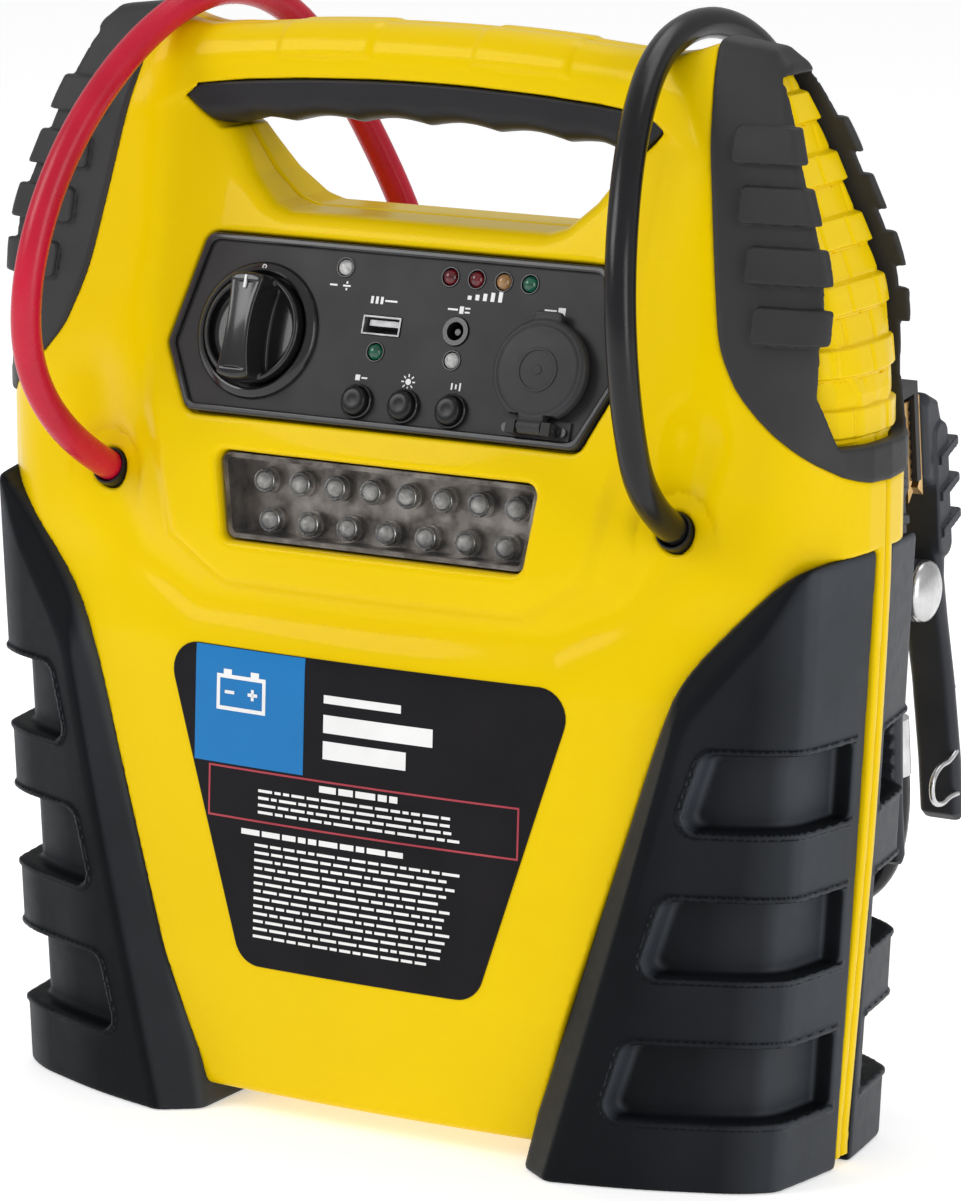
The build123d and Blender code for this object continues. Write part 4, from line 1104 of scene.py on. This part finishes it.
signs = makePlate("panelSigns", signOutlines(), -0.05, 0.07, 0.01, "labelWhite", panelPlace)
finishPiece(signs, "label_film")
zeroSpot = (panel["switch"][0], panel["switch"][1] + 19.2)
zero = makePlate("switchZero", [circleOutline(*zeroSpot, 0.75, 20), circleOutline(*zeroSpot, 0.45, 20)],
                 1.9, 2.35, 0.02, "labelWhite", panelPlace)
finishPiece(zero, "label_film")

# ---- work lamp: each row has a height, a count and a pitch
lamp = dict(rows=((17.6, 8, 12.5), (5.9, 7, 13.7)), tray=-14.0)
lampSpots = [((i - (count - 1) / 2) * pitch, height) for height, count, pitch in lamp["rows"] for i in range(count)]
lens = makePlate("lampLens", [roundedOutline(insetOutline(lensOutline, 0.1), 3.0)], -2.0, 0.0, 0.4, "lensClear",
                 lampPlace)
finishPiece(lens, "lens_clear", "lamp_lens")
lampDome = turnedMesh("lampDome", domeOutline(2.5, -0.8, 5.6), 32)
finishPiece(scatter("lampLeds", lampDome, lampSpots, lamp["tray"], "ledClear", lampPlace), "led_clear", "lamp_leds")
lampRingShape = [(2.6, 0.0), (3.7, 0.0), (3.7, 5.6), (3.6, 6.0), (3.4, 6.2), (3.1, 6.0), (2.9, 5.4), (2.6, 5.2)]
lampRing = turnedMesh("lampRing", lampRingShape, 40)
finishPiece(scatter("lampRings", lampRing, lampSpots, lamp["tray"], "steel", lampPlace), "reflector")
print("lamp made")


# ---- lead grommets
def alongLead(side):
    up = Vector((0.0, leadHole["rising"], leadHole["forward"])).normalized()
    out = Vector((0.0, -leadHole["forward"], leadHole["rising"])).normalized()
    return placeMatrix(up, out, (side * leadHole["x"], leadHole["y"], leadHole["z"]))


grommetShape = [(4.62, -12.0), (5.75, -12.0), (5.75, -2.2), (5.6, -1.7), (5.2, -1.5), (4.8, -1.8), (4.62, -2.4)]
for side, name, nodes in ((-1, "leftGrommet", ["lead_grommets"]), (1, "rightGrommet", [])):
    grommet = turnedPiece(name, grommetShape, 48, "buttonRubber", alongLead(side))
    finishPiece(grommet, "button_black", *nodes)


# ---- label: a printed sheet that follows the front face, with plain shapes and no words
label = dict(bottom=49.4, top=146.4, halfBottom=41.4, halfTop=71.8, corner=9.0)


def sheetOnFace(name, outline, lift, thickness, step=3.0):
    # the outline's rows, pressed onto the front face
    zs = sorted({round(z, 3) for _, z in outline})
    lowZ, highZ = min(zs), max(zs)
    zs = sorted(set(zs + np.arange(lowZ + step, highZ, step).tolist()))
    rows = []
    for z in zs:
        crossings = []
        for (ax, az), (bx, bz) in edges(outline):
            if abs(bz - az) > 1e-6 and min(az, bz) - 1e-6 <= z <= max(az, bz) + 1e-6:
                crossings.append(ax + (bx - ax) * (z - az) / (bz - az))
            elif abs(bz - az) <= 1e-6 and abs(z - az) < 1e-3:
                crossings += [ax, bx]
        rows.append((z, min(crossings), max(crossings)))
    columns = max(2, int((max(r[2] for r in rows) - min(r[1] for r in rows)) / step))
    points, faces = [], []
    for layer in (lift, lift + thickness):
        for z, left, right in rows:
            xs = np.linspace(left, right, columns + 1)
            depth = faceDepth(xs, np.full_like(xs, z)) + layer
            points += [(x * mm, -d * mm, z * mm) for x, d in zip(xs, depth)]
    width, height = columns + 1, len(rows)
    shift = width * height
    for j in range(height - 1):
        for i in range(columns):
            a, b = j * width + i, (j + 1) * width + i
            faces.append((a, b, b + 1, a + 1))
            faces.append((shift + a, shift + a + 1, shift + b + 1, shift + b))
    border = list(range(width)) + [j * width + columns for j in range(1, height)]
    border += [(height - 1) * width + i for i in range(columns - 1, -1, -1)]
    border += [j * width for j in range(height - 2, 0, -1)]
    for a, b in edges(border):
        faces.append((a, b, shift + b, shift + a))
    return newMesh(name, points, faces)


def joinedPiece(name, meshes, material):
    points, faces = [], []
    for mesh in meshes:
        start = len(points)
        points += [tuple(v.co) for v in mesh.vertices]
        faces += [tuple(start + i for i in p.vertices) for p in mesh.polygons]
        bpy.data.meshes.remove(mesh)
    return pieceFromMesh(name, newMesh(name, points, faces), material, 30.0)


labelOutline = roundedOutline([(-label["halfBottom"], label["bottom"]), (label["halfBottom"], label["bottom"]),
                               (label["halfTop"], label["top"]), (-label["halfTop"], label["top"])],
                              label["corner"], 8)
labelPiece = joinedPiece("labelPlate", [sheetOnFace("label", labelOutline, 0.02, 0.35)], "labelFilm")
finishPiece(labelPiece, "label_film", "label_plate")
ink = dict(lift=0.37, thickness=0.06)


def inked(boxes, name, material, step=4.0, over=0.0):
    meshes = [sheetOnFace(name, box(*b), ink["lift"] + over, ink["thickness"], step) for b in boxes]
    finishPiece(joinedPiece(name, meshes, material), "label_film")


def labelMarks():
    inked([(-60.0, 110.6, -20.0, 146.2)], "labelBlueField", "labelBlue")
    battery = [(-52.0, 127.0, -34.0, 128.2), (-52.0, 136.8, -34.0, 138.0), (-52.0, 128.2, -50.8, 136.8),
               (-35.2, 128.2, -34.0, 136.8), (-49.5, 138.0, -46.5, 139.6), (-39.5, 138.0, -36.5, 139.6),
               (-49.0, 132.1, -45.5, 133.1), (-40.5, 132.1, -37.0, 133.1), (-39.3, 130.9, -38.3, 134.3)]
    inked(battery, "labelBatterySign", "labelWhite", over=0.08)
    title = [(-13.0, 133.5, 14.0, 136.0), (-13.0, 124.5, 25.0, 130.0), (-13.0, 116.5, 16.0, 122.0)]
    inked(title, "labelTitleBars", "labelWhite")
    border = [(-54.5, 109.3, 54.5, 109.9), (-54.5, 94.0, 54.5, 94.6), (-54.5, 94.6, -53.9, 109.3),
              (53.9, 94.6, 54.5, 109.3)]
    inked(border, "labelFrame", "labelRed", over=0.02)
    draw = np.random.default_rng(7)
    words = []
    # each row: its foot, left and right end, and height
    rows = [(106.2, -14.0, 14.0, 2.0)]
    rows += [(103.4 - 2.2 * i, -36.0, 36.0 - 5.0 * draw.random(), 0.85) for i in range(4)]
    rows += [(89.8, -42.0, 16.0, 1.7)]
    rows += [(86.6 - 2.35 * i, -37.0, 37.0 - 6.0 * draw.random() - 0.4 * i, 0.85) for i in range(13)]
    for z, left, right, height in rows:
        x = left
        while x < right - 2.0:
            length = min(2.0 + 5.0 * draw.random(), right - x)
            words.append((x, z, x + length, z + height))
            x += length + 0.9
    inked(words, "labelTextBars", "labelWhite", 8.0)


labelMarks()
print("label made")

# ---- clamps, stored on the back with their jaws up
clamp = dict(x=122.0, y=66.0, z=162.0, tilt=7.0, half=7.0)
armOutline = [(-5.2, 57.0), (-9.0, 60.0), (-16.0, 56.0), (-19.0, 45.0), (-19.5, 30.0), (-17.5, 12.0),
              (-16.0, 0.0), (-17.5, -14.0), (-20.5, -34.0), (-23.0, -62.0), (-22.6, -80.0), (-20.5, -82.0),
              (-17.6, -79.0), (-17.4, -62.0), (-15.2, -34.0), (-12.0, -14.0), (-10.4, -6.0), (-10.4, 10.0),
              (-12.5, 22.0), (-10.0, 30.0), (-5.2, 34.0)]
springBends = [(19.4, -58), (15.0, -60), (8.0, -59), (1.8, -62), (1.8, -69), (8.0, -72), (14.0, -71), (19.0, -72)]


def clampMatrix(side):
    s, c = math.sin(math.radians(clamp["tilt"])), math.cos(math.radians(clamp["tilt"]))
    return placeMatrix((0, c, s), (0, -s, c), (side * clamp["x"], clamp["y"], clamp["z"]))


def armField(earInner, earOuter):
    def field(x, y, z):
        ax = np.abs(x)
        arm = smoothMax(outlineDistance(y, z, armOutline, 0.8), ax - clamp["half"], 3.0)
        fromRivet = np.sqrt(y * y + z * z)
        arm = np.maximum(arm, 10.3 - fromRivet)
        neck = np.maximum(np.abs(y + 6.5) - 6.5, np.abs(z) - 6.0)
        middle, half = (earInner + earOuter) / 2, (earOuter - earInner) / 2
        ear = smoothMax(np.minimum(fromRivet - 9.6, neck), np.abs(ax - middle) - half, 0.5)
        body = np.minimum(arm, ear)
        pad = np.sqrt((y + 15.0) ** 2 + np.maximum(np.abs(z - 28.0) - 17.0, 0.0) ** 2) - 4.4
        body = smoothMin(body, smoothMax(pad, ax - clamp["half"] - 0.8, 1.0), 0.8)
        for level in (16.0, 27.5, 39.0):
            tilted = z - level + 0.3 * (y + 15.0)
            rib = allOf(np.abs(tilted) - 1.5, np.abs(y + 17.5) - 6.0, ax - clamp["half"] - 2.0)
            body = smoothMin(body, rib, 0.6)
        for index in range(9):
            level = -38.0 - 4.6 * index
            rib = np.sqrt((z - level) ** 2 + (y + 21.4 - 0.035 * (z + 38.0)) ** 2) - 1.3
            body = smoothMin(body, np.maximum(rib, ax - 5.4), 0.5)
        return np.maximum(body, 4.0 - fromRivet)
    return field


def jawOutline():
    edge = -1.6
    points = [(edge - 3.3, 29.0), (edge - 3.3, 60.5), (edge, 60.5)]
    for index in range(9):
        top = 59.5 - index * 3.0
        points += [(edge, top), (edge - 1.3, top - 1.5)]
    return points + [(edge, 32.0)]


def makeClamp(color, side, body):
    place = clampMatrix(side)
    upright = Matrix(((0, 0, 1, 0), (1, 0, 0, 0), (0, 1, 0, 0), (0, 0, 0, 1)))
    for name, ears, sign, rides in (("front", (5.1, 7.0), 1, "case"), ("rear", (2.7, 4.8), -1, body)):
        start, node = color + name.capitalize(), color + "_clamp_" + name
        field = armField(*ears)
        mirroredField = field if sign > 0 else (lambda x, y, z, f=field: f(x, -y, z))
        low, high = ((-10, -26, -84), (10, 2, 62)) if sign > 0 else ((-10, -2, -84), (10, 26, 62))
        arm = fieldPiece(start + "Arm", mirroredField, low, high, (1.8, 0.75), "clamp" + color.capitalize(), 60000,
                         place)
        finishPiece(arm, "clamp_" + color, node + "_arm", body=rides)
        outline = jawOutline() if sign > 0 else [(-y, z) for y, z in reversed(jawOutline())]
        jaw = makePlate(start + "Jaw", [outline], -5.6, 5.6, 0.2, "copper", place @ upright)
        finishPiece(jaw, "copper", node + "_jaw", body=rides)
    head = [(9.5, 6.9), (9.6, 7.5), (9.0, 8.6), (7.4, 9.6), (4.6, 10.4), (0, 10.8)]
    outline = [(0, -10.8)] + [(r, -h) for r, h in reversed(head[:-1])] + [(4.0, -6.9), (4.0, 6.9)] + head
    sideways = place @ Matrix.Rotation(math.pi / 2, 4, "Y")
    rivet = turnedPiece(color + "Rivet", outline, 64, "steel", sideways, 50.0)
    finishPiece(rivet, "steel", color + "_clamp_rivet")
    wirePlaces = [place @ Vector((side * 6.2 * mm, y * mm, z * mm)) for y, z in springBends]
    finishPiece(makeTube(color + "SpringWire", wirePlaces, 12, 0.0009, 4, "steel"), "steel", body=body)


makeClamp("black", 1, "black_jaw")
makeClamp("red", -1, "red_jaw")
print("clamps made")

# ---- case screws on the back
screwHead = [(0, -3.0), (1.6, -3.0), (1.6, 0.0), (3.5, 0.0), (3.6, 0.5), (3.2, 1.6), (2.2, 2.3), (1.3, 2.5),
             (1.2, 1.2), (0, 1.1)]
rearPlace = Matrix(((1, 0, 0, 0), (0, 0, 1, 0), (0, -1, 0, 0), (0, 0, 0, 1)))
screws = scatter("caseScrews", turnedMesh("screw", screwHead, 32),
                 [(side * x, -z) for side in (-1, 1) for x, z in screwSpots], 12.6, "steel", rearPlace)
finishPiece(screws, "steel", "case_screws")

# ---- CAD pieces whose shape is kept get their material
kept = {
    "panelPlastic": ["switch_body", "outlet_barrel", "cap_hinge_lug", "clamp_holders"],
    "knobPlastic": ["charge_jack", "cap_lug_screws"],
    "buttonRubber": ["battery_pads"],
    "steel": ["cap_hinge_pin", "black_clamp_spring", "red_clamp_spring",
              "black_clamp_crimp", "red_clamp_crimp"],
    "brass": ["outlet_contact", "battery_terminals"],
    "reflector": ["lamp_tray"],
    "boardGreen": ["lamp_board", "control_board"],
    "batteryGrey": ["battery"],
    "bracketSteel": ["battery_bracket", "usb_socket"],
}
for materialName, nodes in kept.items():
    for node in nodes:
        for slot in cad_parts[node].material_slots:
            slot.material = materials[materialName]
print("kept CAD pieces painted")

# ---- floor and studio light
stage = dict(floorSize=6.0, key=13.0, fill=9.0, top=7.0, world=0.55)


def makeFloor():
    half = stage["floorSize"] / 2
    corners = [(x, y, 0) for x, y in box(-half, -half, half, half)]
    mesh = newMesh("floor", corners, [(0, 1, 2, 3)])
    paper = newMaterial("floorPaper", (0.9, 0.9, 0.9), 0.7)
    shaderOf(paper).inputs["Emission Color"].default_value = (1.0, 1.0, 1.0, 1.0)
    shaderOf(paper).inputs["Emission Strength"].default_value = 0.45
    mesh.materials.append(paper)
    newObject("floor", mesh)


def areaLight(name, place, size, power):
    data = bpy.data.lights.new(name, "AREA")
    data.shape = "RECTANGLE"
    data.size, data.size_y = size
    data.energy = power
    lightObject = newObject(name, data)
    lightObject.location = place
    lightObject.rotation_euler = (Vector(place) - Vector((0, 0, 0.15))).to_track_quat("Z", "Y").to_euler()


makeFloor()
areaLight("keyLight", (-1.1, -1.2, 1.3), (0.9, 0.9), stage["key"])
areaLight("fillLight", (1.7, -0.6, 0.6), (0.6, 1.2), stage["fill"])
areaLight("topLight", (0.1, 0.6, 1.7), (1.4, 0.7), stage["top"])
world = bpy.data.worlds.new("world")
world.use_nodes = True
background = world.node_tree.nodes["Background"]
background.inputs["Color"].default_value = (1.0, 1.0, 1.0, 1.0)
seen = addNode(world, "ShaderNodeLightPath")
strength = addNode(world, "ShaderNodeMapRange", **{"To Min": stage["world"], "To Max": 1.0})
link(world, seen.outputs["Is Camera Ray"], strength.inputs["Value"])
link(world, strength.outputs["Result"], background.inputs["Strength"])
bpy.context.scene.world = world
print("stage lit")
